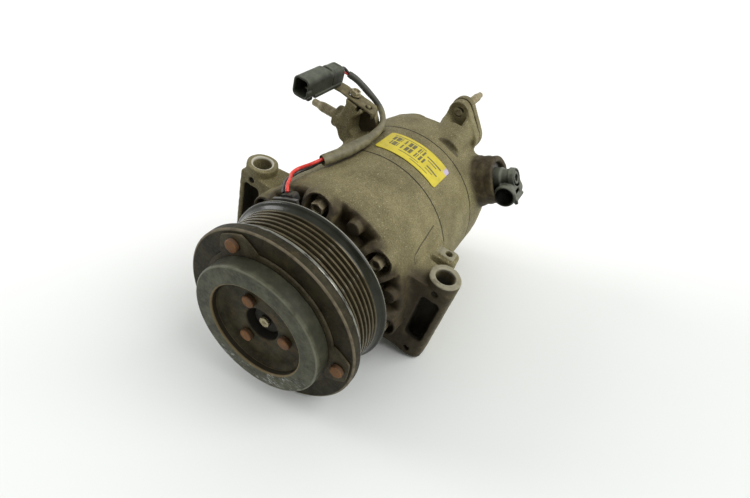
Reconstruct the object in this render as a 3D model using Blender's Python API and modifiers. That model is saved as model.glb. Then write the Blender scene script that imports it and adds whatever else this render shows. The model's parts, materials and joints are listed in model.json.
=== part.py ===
"""Automotive air-conditioning compressor with an electromagnetic clutch.

Everything is modelled in the shaft frame: Y runs along the drive shaft from the clutch to the rear,
Z runs along the bolt holes of the two mounting lugs, and the origin lies on the shaft axis in the plane
of the pulley's rear flange. The finished assembly hangs on one empty, which lays it on the floor the way
it comes to rest: on the belly of its body and on the lower edge of its right lug.
"""

from math import asin, atan2, cos, hypot, pi, radians, sin, tau

import bmesh
import bpy
from mathutils import Matrix, Vector

# Clearance between solids that touch
GAP = 0.0003

# How far a cutting tool runs past the piece that it cuts
PAST = 0.0100

# How deep a boss or a pin is rooted in the piece that it is joined to
ROOT = 0.0010

# Facets round the middling and small turned pieces and round holes
DISC_STEPS = 28
RING_STEPS = 18
HOLE_STEPS = 8

# Body castings
BODY_R = 0.0606
BODY_STEPS = 32
CRANKCASE_R = 0.047
SEAM_FRONT_Y = 0.0800
SEAM_REAR_Y = 0.1277
REAR_END_Y = 0.1730
FRONT_FACE_Y = 0.0066
FRONT_WALL_Y = 0.0300
# The shoulder's corners: behind the front face, and in from the body's radius
FRONT_SHOULDER = ((0.0194, 0.0), (0.0104, 0.0028), (0.0039, 0.0081), (0.0, 0.0156))
NOSE_R = 0.0172
NOSE_END_Y = -0.0250
SEAL_SEAT_R = 0.0124
SHAFT_BORE_R = 0.0090
NEEDLE_SEAT_R = 0.0134

# Through bolts that clamp the castings, at the angles read from the front, and the cast posts between them
BOLT_CIRCLE_R = 0.0530
BOLT_ANGLES = (101.0, 47.6, -6.0, -56.5, -107.0, -157.0, 153.0)
BOLT_R = 0.0030
BOLT_HEAD_ACROSS = 0.0080
BOLT_HEAD_HEIGHT = 0.0070
BOLT_FLANGE_R = 0.0060
BOLT_FLANGE_HEIGHT = 0.0016
BOLT_FLANGE_TAPER = 0.0008
BOLT_SEAT_Y = 0.0205
BOLT_END_Y = 0.1395
POCKET_R = 0.0080
POST_POCKET_R = 0.0100
POST_POCKET_Y = 0.0270
POST_R = 0.0056
POST_TIP_Y = 0.0145

# Mounting lugs
LUG_X = 0.0723
LUG_Y = 0.0396
LUG_R = 0.0106
LUG_HALF_HEIGHT = 0.0360
LUG_BOLT_R = 0.00635
LUG_ROOT_X = 0.0480
LUG_REAR_Y = 0.0540
LUG_ARM_TOP_Z = 0.0305
LUG_ARM_INSET = 0.0004
WINDOW_INSET = 0.0003
WINDOW_WIDTH = 0.0104
WINDOW_HALF_HEIGHT = 0.0205
WINDOW_DEPTH = 0.0125
WINDOW_CORNER_R = 0.0030
DRAIN_HOLE_R = 0.0021
DRAIN_HOLE_Z = (-0.0305, 0.0282)
TAB_X = 0.0640
TAB_ROOT_X = 0.0560
TAB_Y = 0.0665
TAB_R = 0.0066
TAB_TOP_Z = 0.0300
TAB_DEPTH = 0.0220
TAB_HOLE_R = 0.0026
TAB_HOLE_DEPTH = 0.0120

# Poly-V pulley and its bearing
PULLEY_STEPS = 36
PULLEY_FLANGE_R = 0.0593
PULLEY_REAR_Y = 0.0032
PULLEY_FRONT_Y = -0.0276
PULLEY_LAND_R = 0.0592
PULLEY_LAND_WIDTH = 0.0030
GROOVE_COUNT = 6
GROOVE_PITCH = 0.00356
GROOVE_DEPTH = 0.0029
GROOVE_CREST_R = 0.0556
GROOVE_REAR_Y = -0.0049
FRICTION_WALL = 0.0051
PULLEY_RIM_WALL = 0.0055
PULLEY_HUB_WALL = 0.0052
BEARING_BORE_R = 0.0175
BEARING_OUTER_R = 0.0275
BEARING_FRONT_Y = -0.0235
BEARING_WIDTH = 0.0200
BALL_SPACE = 0.0033
SNAP_RING_T = 0.0016

# Clutch coil
COIL_CLEARANCE = 0.0007
COIL_PLATE_FRONT_Y = 0.0042
COIL_PLATE_R = 0.0490
COIL_PLATE_BORE_R = 0.0260
COIL_EAR_ANGLE = 118.0
COIL_EAR_HALF_ANGLE = 9.0
COIL_EAR_R = 0.0600
GROMMET_WIDTH = 0.0100
GROMMET_HEIGHT = 0.0062
GROMMET_LENGTH = 0.0060

# Clutch hub, armature and damper
AIR_GAP = 0.0006
ARMATURE_R = 0.0606
ARMATURE_BORE_R = 0.0300
ARMATURE_T = 0.0060
ARMATURE_CHAMFER = 0.0008
SPRING_PLATE_T = 0.0015
SPRING_PLATE_R = 0.0475
SPRING_PLATE_BORE_R = 0.0150
SPRING_EAR_R = 0.0580
SPRING_EAR_TIP = 7.0
SPRING_EAR_FOOT = 19.0
SPRING_OUTLINE_STEP = 6
RIVET_ANGLES = (123.0, 3.0, -117.0)
OUTER_RIVET_CIRCLE_R = 0.0518
INNER_RIVET_CIRCLE_R = 0.0181
RIVET_HEAD_R = 0.0042
RIVET_HEAD_HEIGHT = 0.0021
RIVET_SHANK_R = 0.0024
CUP_FACE_Y = -0.0472
CUP_R = 0.0447
CUP_RIM_R = 0.0324
CUP_WALL = 0.0022
CUP_LIP_Y = -0.0410
HUB_FACE_Y = -0.0400
HUB_DISC_R = 0.0318
HUB_FLANGE_T = 0.0010
HUB_RECESS_R = 0.0107
HUB_RECESS_FLOOR_R = 0.0092
HUB_RECESS_DEPTH = 0.0060
HUB_BOSS_R = 0.0140
HUB_BOSS_END_Y = -0.0262
SHAFT_NOSE_R = 0.0065
HUB_BOLT_ACROSS = 0.0090
HUB_BOLT_HEAD = 0.0026
HUB_BOLT_TIP_R = 0.0036
HUB_BOLT_TIP = 0.0012

# Shaft, swash plate and pistons
SHAFT_R = 0.0080
SHAFT_REAR_Y = 0.1150
SEAL_Y = (-0.0225, -0.0155)
FRONT_NEEDLE_Y = (0.0150, 0.0285)
REAR_NEEDLE_Y = (0.0980, 0.1120)
THRUST_R = (0.0145, 0.0260)
THRUST_T = 0.0029
LUG_PLATE_R = 0.0370
LUG_PLATE_T = 0.0110
SWASH_R = 0.0410
SWASH_Y = (0.0580, 0.0660)
SWASH_HUB_R = 0.0150
SWASH_HUB_Y = (0.0545, 0.0710)
SWASH_ARM_WIDTH = 0.0080
SWASH_ARM_Z = 0.0205
SPRING_WIRE_R = 0.0006
SPRING_COIL_R = 0.0105
SPRING_TURNS = 4
SPRING_TURN_POINTS = 8
SPRING_GAP_POINTS = 48
PISTON_COUNT = 7
PISTON_PHASE = 75.5
PISTON_STEPS = 12
PISTON_CIRCLE_R = 0.0345
PISTON_R = 0.0124
PISTON_Y = (0.0790, 0.1255)
BORE_R = PISTON_R + GAP
BRIDGE_R = (0.0290, 0.0456)
BRIDGE_HALF_WIDTH = 0.0062
BRIDGE_FRONT_Y = 0.0490
BRIDGE_ROOT = 0.0006
SLOT_CLEARANCE = 0.0024
SHOE_R = 0.0048

# Valve plate stack and seal between the castings
GASKET_T = 0.0006
VALVE_PLATE_T = 0.0030
VALVE_PLATE_R = 0.0490
VALVE_PORT_R = 0.0045
VALVE_CENTRE_HOLE_R = 0.0040
BOLT_CLEARANCE = 0.0004
SEAL_RING_R = 0.0480
SEAL_RING_WIRE_R = 0.0008

# Rear head
HEAD_CHAMBER_R = (0.0220, 0.0460)
HEAD_CHAMBER_Y = 0.1560
# The rear shoulder's corners: before the rear end, and in from the body's radius
HEAD_SHOULDER = ((0.0, 0.0116), (0.0080, 0.0026), (0.0230, 0.0))
PORT_PAD_FRONT_Y = REAR_END_Y - 0.0084
PORT_STUD_XZ = (0.0080, 0.0711)
PORT_PAD_R = 0.0085
PORT_SHOULDER = (0.0185, 0.0535, 0.0122)
PORT_ROOT = (0.0060, 0.0440, 0.0070)
PORT_PLATE_T = 0.0058
PORT_PLATE_FOOT = (0.0080, 0.0330, 0.0130)
SUCTION_PORT = (0.0080, 0.0330, 0.0085)
DISCHARGE_PORT = (0.0165, 0.0485, 0.0062)
PORT_DEPTH = 0.0120
PORT_POCKET_DEPTH = 0.0030
PORT_POCKET_RIM = 0.0022
PORT_POCKET_END = (0.0140, 0.0625, 0.0048)
PORT_BOSS_R = 0.0046
PORT_STUD_SKIN = 0.0010
PORT_PLATE_MARGIN = 0.0007
PORT_STUD_R = 0.0033
PORT_STUD_END_Y = REAR_END_Y + 0.0390

# Control valve, radial in the rear head
VALVE_ANGLE = 37.2
VALVE_Y = 0.1520
VALVE_BOSS_R = 0.0180
VALVE_BOSS_TIP = 0.0770
VALVE_BORE_R = 0.0115
VALVE_FLOOR = 0.0300
VALVE_RECESS_R = 0.0130
VALVE_RECESS_DEPTH = 0.0050
VALVE_RING_T = 0.0014
VALVE_PLUG_R = 0.0088
VALVE_PLUG_TIP = 0.0900
VALVE_SOCKET_R = 0.0078
VALVE_SOCKET_WALL = 0.0013
VALVE_SOCKET_LENGTH = 0.0210
VALVE_SOCKET_DEPTH = 0.0110
VALVE_SOCKET_DROP = 0.0085

# Rear lug on the cylinder block, with its stud, bracket and coil connector
REAR_LUG_Y = (0.1060, 0.1240)
REAR_LUG_STUD_YZ = (0.1140, 0.0485)
REAR_LUG_BOSS_R = 0.0085
REAR_LUG_BOSS_X = -0.0655
REAR_LUG_TOP = ((-0.0590, 0.0692), (-0.0345, 0.0654))
REAR_LUG_FOOT = (-0.0430, 0.0350)
REAR_LUG_POCKET = ((-0.0520, 0.0640), (-0.0485, 0.0450), (-0.0385, 0.0495), (-0.0375, 0.0615))
REAR_LUG_POCKET_DEPTH = 0.0140
LUG_STUD_R = 0.0038
LUG_STUD_X = (-0.0880, -0.0530)
LUG_STUD_POINT_R = 0.0026
LUG_STUD_POINT = 0.0050
BRACKET_T = 0.0018
BRACKET_Y = (0.1070, 0.1210)
BRACKET_BEND_X = -0.0640
BRACKET_TIP_X = -0.0815
BRACKET_END_X = -0.0330
BRACKET_SCREW_X = -0.0550
BRACKET_SCREW_R = 0.0030
BRACKET_SCREW_HEAD_ACROSS = 0.0100
BRACKET_SCREW_HEAD = 0.0040
BRACKET_SCREW_LENGTH = 0.0100
BRACKET_PIN_X = -0.0415
BRACKET_PIN_R = 0.0019
CONNECTOR_X = -0.0735
CONNECTOR_Y = (0.0715, 0.1160)
CONNECTOR_HALF_WIDTH = 0.0064
CONNECTOR_HALF_HEIGHT = 0.0072
CONNECTOR_CORNER_R = 0.0044
CONNECTOR_WALL = 0.0015
CONNECTOR_SOCKET_DEPTH = 0.0170
CONNECTOR_CAP_Y = 0.1010
CONNECTOR_CAP_EXTRA = 0.0008
CONNECTOR_CLIP = ((0.0032, 0.0042, 0.0050), 0.0785)

# Lead from the connector to the coil
SLEEVE_R = 0.0040
SLEEVE_ROUTE = (
    (-0.0700, 0.1235, 0.0805),
    (-0.0620, 0.1272, 0.0775),
    (-0.0530, 0.1292, 0.0722),
    (-0.0435, 0.1308, 0.0665),
    (-0.0365, 0.1303, 0.0622),
    (-0.0310, 0.1260, 0.0596),
    (-0.0288, 0.1170, 0.0591),
    (-0.0283, 0.1060, 0.0590),
    (-0.0280, 0.0920, 0.0590),
    (-0.0295, 0.0750, 0.0583),
    (-0.0315, 0.0600, 0.0573),
    (-0.0330, 0.0480, 0.0566),
)
WIRE_R = 0.0011
RED_WIRE_ROUTE = (
    (-0.0334, 0.0472, 0.0578),
    (-0.0372, 0.0425, 0.0552),
    (-0.0405, 0.0355, 0.0530),
    (-0.0408, 0.0280, 0.0522),
    (-0.0378, 0.0210, 0.0530),
    (-0.0325, 0.0160, 0.0540),
    (-0.0290, 0.0134, 0.0540),
)
BLACK_WIRE_ROUTE = (
    (-0.0344, 0.0472, 0.0552),
    (-0.0392, 0.0425, 0.0524),
    (-0.0430, 0.0355, 0.0498),
    (-0.0438, 0.0280, 0.0488),
    (-0.0415, 0.0210, 0.0496),
    (-0.0362, 0.0160, 0.0510),
    (-0.0325, 0.0134, 0.0515),
)
ROUTE_STEP = 0.0060
WIRE_STEP = 0.0040

# Plain paper label on the cylinder block
LABEL_ANGLES = (59.0, 108.0)
LABEL_Y = (0.0897, 0.1158)
LABEL_T = 0.0004
LABEL_STEPS = 12


def material(name, colour, roughness, metallic):
    """A Principled material of one colour."""
    mat = bpy.data.materials.new(name)
    mat.use_nodes = True
    shader = mat.node_tree.nodes["Principled BSDF"]
    shader.inputs["Base Color"].default_value = (*colour, 1.0)
    shader.inputs["Roughness"].default_value = roughness
    shader.inputs["Metallic"].default_value = metallic
    return mat


def on_shaft(radius, angle, y):
    """A point at a radius and an angle, in degrees from +X towards +Z, round the shaft."""
    return Vector((radius * cos(radians(angle)), y, radius * sin(radians(angle))))


def add(name, data):
    obj = bpy.data.objects.new(name, data)
    bpy.context.scene.collection.objects.link(obj)
    return obj


def turned(name, profile, steps=BODY_STEPS, closed=True, angle=tau):
    """Turns (y, radius) points about the shaft. The outer side runs from the rear to the front."""
    mesh = bpy.data.meshes.new(name)
    edges = [(i, i + 1) for i in range(len(profile) - 1)]
    if closed:
        edges.append((len(profile) - 1, 0))
    mesh.from_pydata([(r, 0.0, y) for y, r in profile], edges, [])
    obj = add(name, mesh)
    screw = obj.modifiers.new("Turn", "SCREW")
    screw.angle = angle
    screw.steps = steps
    screw.render_steps = steps
    screw.use_merge_vertices = True
    screw.merge_threshold = 0.000001
    obj.rotation_euler.x = -pi / 2
    return obj


def ring(name, inner, outer, front, rear, steps=RING_STEPS):
    """A plain ring about the shaft."""
    return turned(name, [(rear, outer), (front, outer), (front, inner), (rear, inner)], steps)


def rod(name, start, end, radius, steps=16, tip_radius=None):
    """A cylinder, or a cone, between two points."""
    start, end = Vector(start), Vector(end)
    mesh = bpy.data.meshes.new(name)
    bm = bmesh.new()
    bmesh.ops.create_cone(
        bm,
        cap_ends=True,
        segments=steps,
        radius1=radius,
        radius2=radius if tip_radius is None else tip_radius,
        depth=(end - start).length,
    )
    bm.to_mesh(mesh)
    bm.free()
    obj = add(name, mesh)
    obj.location = (start + end) / 2
    obj.rotation_euler = (end - start).to_track_quat("Z", "Y").to_euler()
    return obj


def box(name, low, high):
    """A box between two corners."""
    low, high = Vector(low), Vector(high)
    mesh = bpy.data.meshes.new(name)
    bm = bmesh.new()
    bmesh.ops.create_cube(bm, size=1.0)
    bmesh.ops.scale(bm, vec=high - low, verts=bm.verts)
    bm.to_mesh(mesh)
    bm.free()
    obj = add(name, mesh)
    obj.location = (low + high) / 2
    return obj


def hull(circles, points=20):
    """The outline round a set of circles (x, y, radius); a radius of zero is a corner."""
    dots = set()
    for x, y, r in circles:
        count = points if r else 1
        for i in range(count):
            angle = tau * i / count
            dots.add((round(x + r * cos(angle), 7), round(y + r * sin(angle), 7)))
    chains = []
    for ordered in (sorted(dots), sorted(dots, reverse=True)):
        chain = []
        for dot in ordered:
            while len(chain) > 1:
                (ax, ay), (bx, by) = chain[-2:]
                if (bx - ax) * (dot[1] - ay) - (by - ay) * (dot[0] - ax) > 1e-10:
                    break
                chain.pop()
            chain.append(dot)
        chains += chain[:-1]
    return chains


def baked(obj):
    """The object with its modifiers or curve made into a plain mesh."""
    bpy.context.view_layer.update()
    graph = bpy.context.evaluated_depsgraph_get()
    mesh = bpy.data.meshes.new_from_object(obj.evaluated_get(graph))
    bm = bmesh.new()
    bm.from_mesh(mesh)
    bmesh.ops.remove_doubles(bm, verts=bm.verts, dist=0.000001)
    bm.to_mesh(mesh)
    bm.free()
    done = add("baked", mesh)
    done.matrix_world = obj.matrix_world.copy()
    name = obj.name
    bpy.data.objects.remove(obj)
    done.name = name
    return done


def extruded(name, outlines, low, high, along="Z"):
    """Flat outlines, the first round the others, given thickness from low to high along Z or Y.

    Along Y the outline's points are (x, z).
    """
    curve = bpy.data.curves.new(name, "CURVE")
    curve.dimensions = "2D"
    curve.fill_mode = "BOTH"
    curve.extrude = (high - low) / 2
    for outline in outlines:
        spline = curve.splines.new("POLY")
        spline.points.add(len(outline) - 1)
        for point, (x, y) in zip(spline.points, outline):
            point.co = (x, y, 0.0, 1.0)
        spline.use_cyclic_u = True
    obj = add(name, curve)
    middle = (low + high) / 2
    if along == "Y":
        obj.rotation_euler.x = pi / 2
        obj.location.y = middle
    else:
        obj.location.z = middle
    return baked(obj)


def smooth_route(points, step):
    """Points a step apart along a smooth curve through the given points."""
    dots = [Vector(p) for p in points]
    ends = [2 * dots[0] - dots[1], *dots, 2 * dots[-1] - dots[-2]]
    route = []
    for a, b, c, d in zip(ends, ends[1:], ends[2:], ends[3:]):
        count = max(1, round((c - b).length / step))
        for i in range(count):
            t = i / count
            route.append(
                0.5
                * (2 * b + (c - a) * t + (2 * a - 5 * b + 4 * c - d) * t * t + (3 * b - 3 * c + d - a) * t**3)
            )
    return [*route, dots[-1]]


def tube(name, route, radius, resolution=2):
    """A round tube along a route."""
    curve = bpy.data.curves.new(name, "CURVE")
    curve.dimensions = "3D"
    curve.bevel_depth = radius
    curve.bevel_resolution = resolution
    curve.use_fill_caps = True
    spline = curve.splines.new("POLY")
    spline.points.add(len(route) - 1)
    for point, where in zip(spline.points, route):
        point.co = (*where, 1.0)
    return baked(add(name, curve))


def combine(obj, tools, operation):
    """Joins or cuts an object with others, which become hidden tools."""
    for tool in tools:
        boolean = obj.modifiers.new(tool.name, "BOOLEAN")
        boolean.operation = operation
        boolean.object = tool
        tool.hide_render = True
        tool.display_type = "WIRE"
        TOOLS.append(tool)
    return obj


def join(obj, *tools):
    return combine(obj, tools, "UNION")


def cut(obj, *tools):
    return combine(obj, tools, "DIFFERENCE")


def finish(obj, mat, body):
    """Gives a sub-part its material, its shading and the body that it belongs to."""
    obj.data.materials.clear()
    obj.data.materials.append(mat)
    if obj.type == "MESH" and obj.data.polygons:
        obj.data.shade_smooth()
        obj.data.set_sharp_from_angle(angle=radians(32))
    PARTS[obj] = body
    return obj


def copies(prototype, names, places, mat, body):
    """Copies of one piece that share its mesh; the prototype stands along the shaft at the origin."""
    source = baked(prototype)
    for name, place in zip(names, places):
        obj = add(name, source.data)
        obj.matrix_world = place @ source.matrix_world
        finish(obj, mat, body)
    bpy.data.objects.remove(source)


def numbered(name, count):
    return [f"{name}_{i + 1}" for i in range(count)]


def bolt_rods(name, radius, front, rear, steps=HOLE_STEPS):
    """One cylinder on each through bolt's axis."""
    return [
        rod(f"{name}_{i}", on_shaft(BOLT_CIRCLE_R, a, front), on_shaft(BOLT_CIRCLE_R, a, rear), radius, steps)
        for i, a in enumerate(BOLT_ANGLES)
    ]


def post_angles():
    """The angles half way between neighbouring bolts."""
    ordered = sorted(BOLT_ANGLES)
    return [(a + b) / 2 for a, b in zip(ordered, [*ordered[1:], ordered[0] + 360.0])]


def mounting_lug(side):
    """One mounting lug, at +X or -X: a boss on an arm that runs into the body."""
    outline = hull(
        [
            (side * LUG_X, LUG_Y, LUG_R - LUG_ARM_INSET),
            (side * LUG_ROOT_X, LUG_Y - LUG_R + LUG_ARM_INSET, 0.0),
            (side * LUG_ROOT_X, LUG_REAR_Y, 0.0),
        ]
    )
    arm = extruded("lug_arm", [outline], LUG_ARM_INSET - LUG_HALF_HEIGHT, LUG_ARM_TOP_Z)
    ring_outline = hull([(side * LUG_X, LUG_Y, LUG_R)])
    return arm, extruded("lug_boss", [ring_outline], -LUG_HALF_HEIGHT, LUG_HALF_HEIGHT)


def lug_cuts(side):
    """The bolt hole, the window and the two small holes of one mounting lug."""
    x = side * (LUG_X - WINDOW_INSET)
    half, corner = WINDOW_WIDTH / 2, WINDOW_CORNER_R
    window = hull(
        [
            (x + sx * (half - corner), sz * (WINDOW_HALF_HEIGHT - corner), corner)
            for sx in (-1, 1)
            for sz in (-1, 1)
        ],
        8,
    )
    front = LUG_Y - LUG_R
    tools = [
        rod(
            "lug_bolt_hole",
            (side * LUG_X, LUG_Y, -2 * LUG_HALF_HEIGHT),
            (side * LUG_X, LUG_Y, 2 * LUG_HALF_HEIGHT),
            LUG_BOLT_R,
            16,
        ),
        extruded("lug_window", [window], front - WINDOW_DEPTH, front + WINDOW_DEPTH, "Y"),
    ]
    for z in DRAIN_HOLE_Z:
        hole = rod("lug_drain", (x, front - LUG_R, z), (x, LUG_Y - LUG_R / 2, z), DRAIN_HOLE_R, HOLE_STEPS)
        tools.append(hole)
    return tools


def front_housing(mat):
    """The front casting: bearing nose, bolt shoulder, crankcase, mounting lugs and a small tab."""
    rebate_y = SEAM_FRONT_Y - 2 * SEAL_RING_WIRE_R - GAP
    rebate_r = SEAL_RING_R + SEAL_RING_WIRE_R + GAP
    housing = turned(
        "front_housing",
        [
            (SEAM_FRONT_Y, BODY_R),
            *[(FRONT_FACE_Y + back, BODY_R - inward) for back, inward in FRONT_SHOULDER],
            (FRONT_FACE_Y, NOSE_R),
            (NOSE_END_Y, NOSE_R),
            (NOSE_END_Y, SEAL_SEAT_R),
            (SEAL_Y[1] + GAP, SEAL_SEAT_R),
            (SEAL_Y[1] + GAP, SHAFT_BORE_R),
            (FRONT_NEEDLE_Y[0] - GAP, SHAFT_BORE_R),
            (FRONT_NEEDLE_Y[0] - GAP, NEEDLE_SEAT_R),
            (FRONT_WALL_Y, NEEDLE_SEAT_R),
            (FRONT_WALL_Y, CRANKCASE_R),
            (rebate_y, CRANKCASE_R),
            (rebate_y, rebate_r),
            (SEAM_FRONT_Y, rebate_r),
        ],
    )
    for side in (1, -1):
        join(housing, *mounting_lug(side))
    tab = hull([(TAB_X, TAB_Y, TAB_R), (TAB_ROOT_X, TAB_Y, TAB_R)], 16)
    join(housing, extruded("tab", [tab], TAB_TOP_Z - TAB_DEPTH, TAB_TOP_Z))
    before = FRONT_FACE_Y - PAST
    cut(housing, *bolt_rods("bolt_pocket", POCKET_R, before, BOLT_SEAT_Y, 12))
    for angle in post_angles():
        pocket = [on_shaft(BOLT_CIRCLE_R, angle, y) for y in (before, POST_POCKET_Y)]
        post = [on_shaft(BOLT_CIRCLE_R, angle, y) for y in (POST_TIP_Y, POST_POCKET_Y + ROOT)]
        cut(housing, rod("post_pocket", *pocket, POST_POCKET_R, 10))
        join(housing, rod("post", *post, POST_R, 8))
    cut(housing, *bolt_rods("bolt_hole", BOLT_R + BOLT_CLEARANCE, before, SEAM_FRONT_Y + PAST))
    for side in (1, -1):
        cut(housing, *lug_cuts(side))
    tab_top = Vector((TAB_X, TAB_Y, TAB_TOP_Z))
    reach = Vector((0, 0, TAB_HOLE_DEPTH))
    cut(housing, rod("tab_hole", tab_top - reach, tab_top + reach, TAB_HOLE_R, 10))
    return finish(housing, mat, "housing")


def piston_angles():
    return [360.0 * i / PISTON_COUNT + PISTON_PHASE for i in range(PISTON_COUNT)]


def piston_places():
    """Where each piston and its bore stand, turned so that the bridge points outwards."""
    out = Matrix.Translation((0, 0, PISTON_CIRCLE_R))
    return [Matrix.Rotation(radians(90.0 - a), 4, "Y") @ out for a in piston_angles()]


def bracket_height(x):
    """The underside of the connector bracket: it follows the lug's sloping top, then runs level."""
    (x0, z0), (x1, z1) = REAR_LUG_TOP
    slope = (z1 - z0) / (x1 - x0)
    return z0 + GAP + slope * (max(x, BRACKET_BEND_X) - x0)


def rear_lug():
    """The hollow lug on the upper left of the cylinder block, with a boss for its stud and a pin."""
    y, z = REAR_LUG_STUD_YZ
    outline = hull(
        [
            (REAR_LUG_BOSS_X + 0.0050, z - 0.0030, 0.0050),
            *[(px, pz, 0.0) for px, pz in REAR_LUG_TOP],
            (*REAR_LUG_FOOT, 0.0040),
        ]
    )
    lug = extruded("rear_lug", [outline], *REAR_LUG_Y, "Y")
    boss = rod("rear_lug_boss", (REAR_LUG_BOSS_X, y, z), (-0.0480, y, z), REAR_LUG_BOSS_R, 14)
    top = bracket_height(BRACKET_PIN_X)
    middle = sum(BRACKET_Y) / 2
    pin = rod(
        "bracket_pin",
        (BRACKET_PIN_X, middle, top - 0.0030),
        (BRACKET_PIN_X, middle, top + BRACKET_T + 0.0008),
        BRACKET_PIN_R,
        HOLE_STEPS,
    )
    return lug, boss, pin


def cylinder_block(mat):
    """The middle casting: piston bores round a shaft bore, and the rear lug."""
    front = SEAM_FRONT_Y + GAP
    block = ring("cylinder_block", NEEDLE_SEAT_R, BODY_R, front, SEAM_REAR_Y, BODY_STEPS)
    lug, boss, pin = rear_lug()
    join(block, lug, boss)
    span = (SEAM_FRONT_Y - PAST, SEAM_REAR_Y + PAST)
    for place in piston_places():
        bore = rod("piston_bore", (0, span[0], 0), (0, span[1], 0), BORE_R, PISTON_STEPS)
        bore.matrix_world = place @ bore.matrix_basis
        cut(block, bore)
    cut(block, *bolt_rods("block_bolt_hole", BOLT_R + BOLT_CLEARANCE, *span))
    front_y = REAR_LUG_Y[0]
    pocket = extruded(
        "rear_lug_pocket",
        [list(REAR_LUG_POCKET)],
        front_y - REAR_LUG_POCKET_DEPTH,
        front_y + REAR_LUG_POCKET_DEPTH,
        "Y",
    )
    y, z = REAR_LUG_STUD_YZ
    stud_hole = rod("stud_hole", (-0.1000, y, z), (LUG_STUD_X[1] + GAP, y, z), LUG_STUD_R + GAP, 10)
    middle = sum(BRACKET_Y) / 2
    seat = bracket_height(BRACKET_SCREW_X)
    screw_hole = rod(
        "screw_hole",
        (BRACKET_SCREW_X, middle, seat - BRACKET_SCREW_LENGTH - GAP),
        (BRACKET_SCREW_X, middle, seat + 0.0100),
        BRACKET_SCREW_R + GAP,
        HOLE_STEPS,
    )
    cut(block, pocket, stud_hole, screw_hole)
    join(block, pin)
    return finish(block, mat, "housing")


def rear_head(mat):
    """The rear casting: gas chamber, port pad with a pocketed front, and the control valve's boss."""
    front = SEAM_REAR_Y + GAP
    seat = front + GASKET_T + VALVE_PLATE_T + 3 * GAP
    inner, outer = HEAD_CHAMBER_R
    head = turned(
        "rear_head",
        [
            (REAR_END_Y, 0.0),
            *[(REAR_END_Y - before, BODY_R - inward) for before, inward in HEAD_SHOULDER],
            (front, BODY_R),
            (front, VALVE_PLATE_R + 2 * GAP),
            (seat, VALVE_PLATE_R + 2 * GAP),
            (seat, outer),
            (HEAD_CHAMBER_Y, outer),
            (HEAD_CHAMBER_Y, inner),
            (seat, inner),
            (seat, 0.0),
        ],
        closed=False,
    )
    x, z = PORT_STUD_XZ
    pad = hull([(x, z, PORT_PAD_R), PORT_SHOULDER, PORT_ROOT])
    out = on_shaft(1.0, VALVE_ANGLE, 0.0)
    along = Vector((0, VALVE_Y, 0))
    join(
        head,
        extruded("port_pad", [pad], PORT_PAD_FRONT_Y, REAR_END_Y, "Y"),
        rod("valve_boss", along + out * 0.0500, along + out * VALVE_BOSS_TIP, VALVE_BOSS_R, RING_STEPS),
    )
    pocket = hull([(x, z, PORT_PAD_R - PORT_POCKET_RIM), PORT_POCKET_END])
    pocket_y = PORT_PAD_FRONT_Y + PORT_POCKET_DEPTH
    cut(head, extruded("port_pocket", [pocket], PORT_PAD_FRONT_Y - PORT_POCKET_DEPTH, pocket_y, "Y"))
    boss_y = PORT_PAD_FRONT_Y + PORT_STUD_SKIN / 2
    join(head, rod("port_boss", (x, boss_y, z), (x, pocket_y + ROOT, z), PORT_BOSS_R, 12))
    recess = VALVE_BOSS_TIP - VALVE_RECESS_DEPTH
    bore_y = boss_y + PORT_STUD_SKIN
    cut(
        head,
        *bolt_rods("head_bolt_hole", BOLT_R + BOLT_CLEARANCE, SEAM_REAR_Y - 0.01, BOLT_END_Y + GAP),
        rod("valve_bore", along + out * VALVE_FLOOR, along + out * 0.1000, VALVE_BORE_R + GAP, 16),
        rod("valve_recess", along + out * recess, along + out * 0.1000, VALVE_RECESS_R + GAP, 16),
        rod("stud_bore", (x, bore_y, z), (x, REAR_END_Y + PAST, z), PORT_STUD_R + GAP, HOLE_STEPS),
    )
    for name, (px, pz, radius) in (("suction_bore", SUCTION_PORT), ("discharge_bore", DISCHARGE_PORT)):
        cut(head, rod(name, (px, REAR_END_Y - PORT_DEPTH, pz), (px, REAR_END_Y + 0.01, pz), radius, 16))
    return finish(head, mat, "housing")


def port_fittings(plate_mat, stud_mat):
    """The plate on the port face, with both ports through it, and the stud that clamps a hose block."""
    x, z = PORT_STUD_XZ
    low = REAR_END_Y + GAP
    outline = hull([(x, z, PORT_PAD_R + PORT_PLATE_MARGIN), PORT_SHOULDER, PORT_PLATE_FOOT])
    plate = extruded("port_plate", [outline], low, low + PORT_PLATE_T, "Y")
    holes = [(x, z, PORT_STUD_R + GAP), SUCTION_PORT, DISCHARGE_PORT]
    for px, pz, radius in holes:
        cut(plate, rod("plate_hole", (px, low - 0.01, pz), (px, low + 0.02, pz), radius, 16))
    finish(plate, plate_mat, "housing")
    root_y = PORT_PAD_FRONT_Y + 1.5 * PORT_STUD_SKIN + GAP
    stud = rod("port_stud", (x, root_y, z), (x, PORT_STUD_END_Y, z), PORT_STUD_R, HOLE_STEPS)
    finish(stud, stud_mat, "housing")


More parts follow.
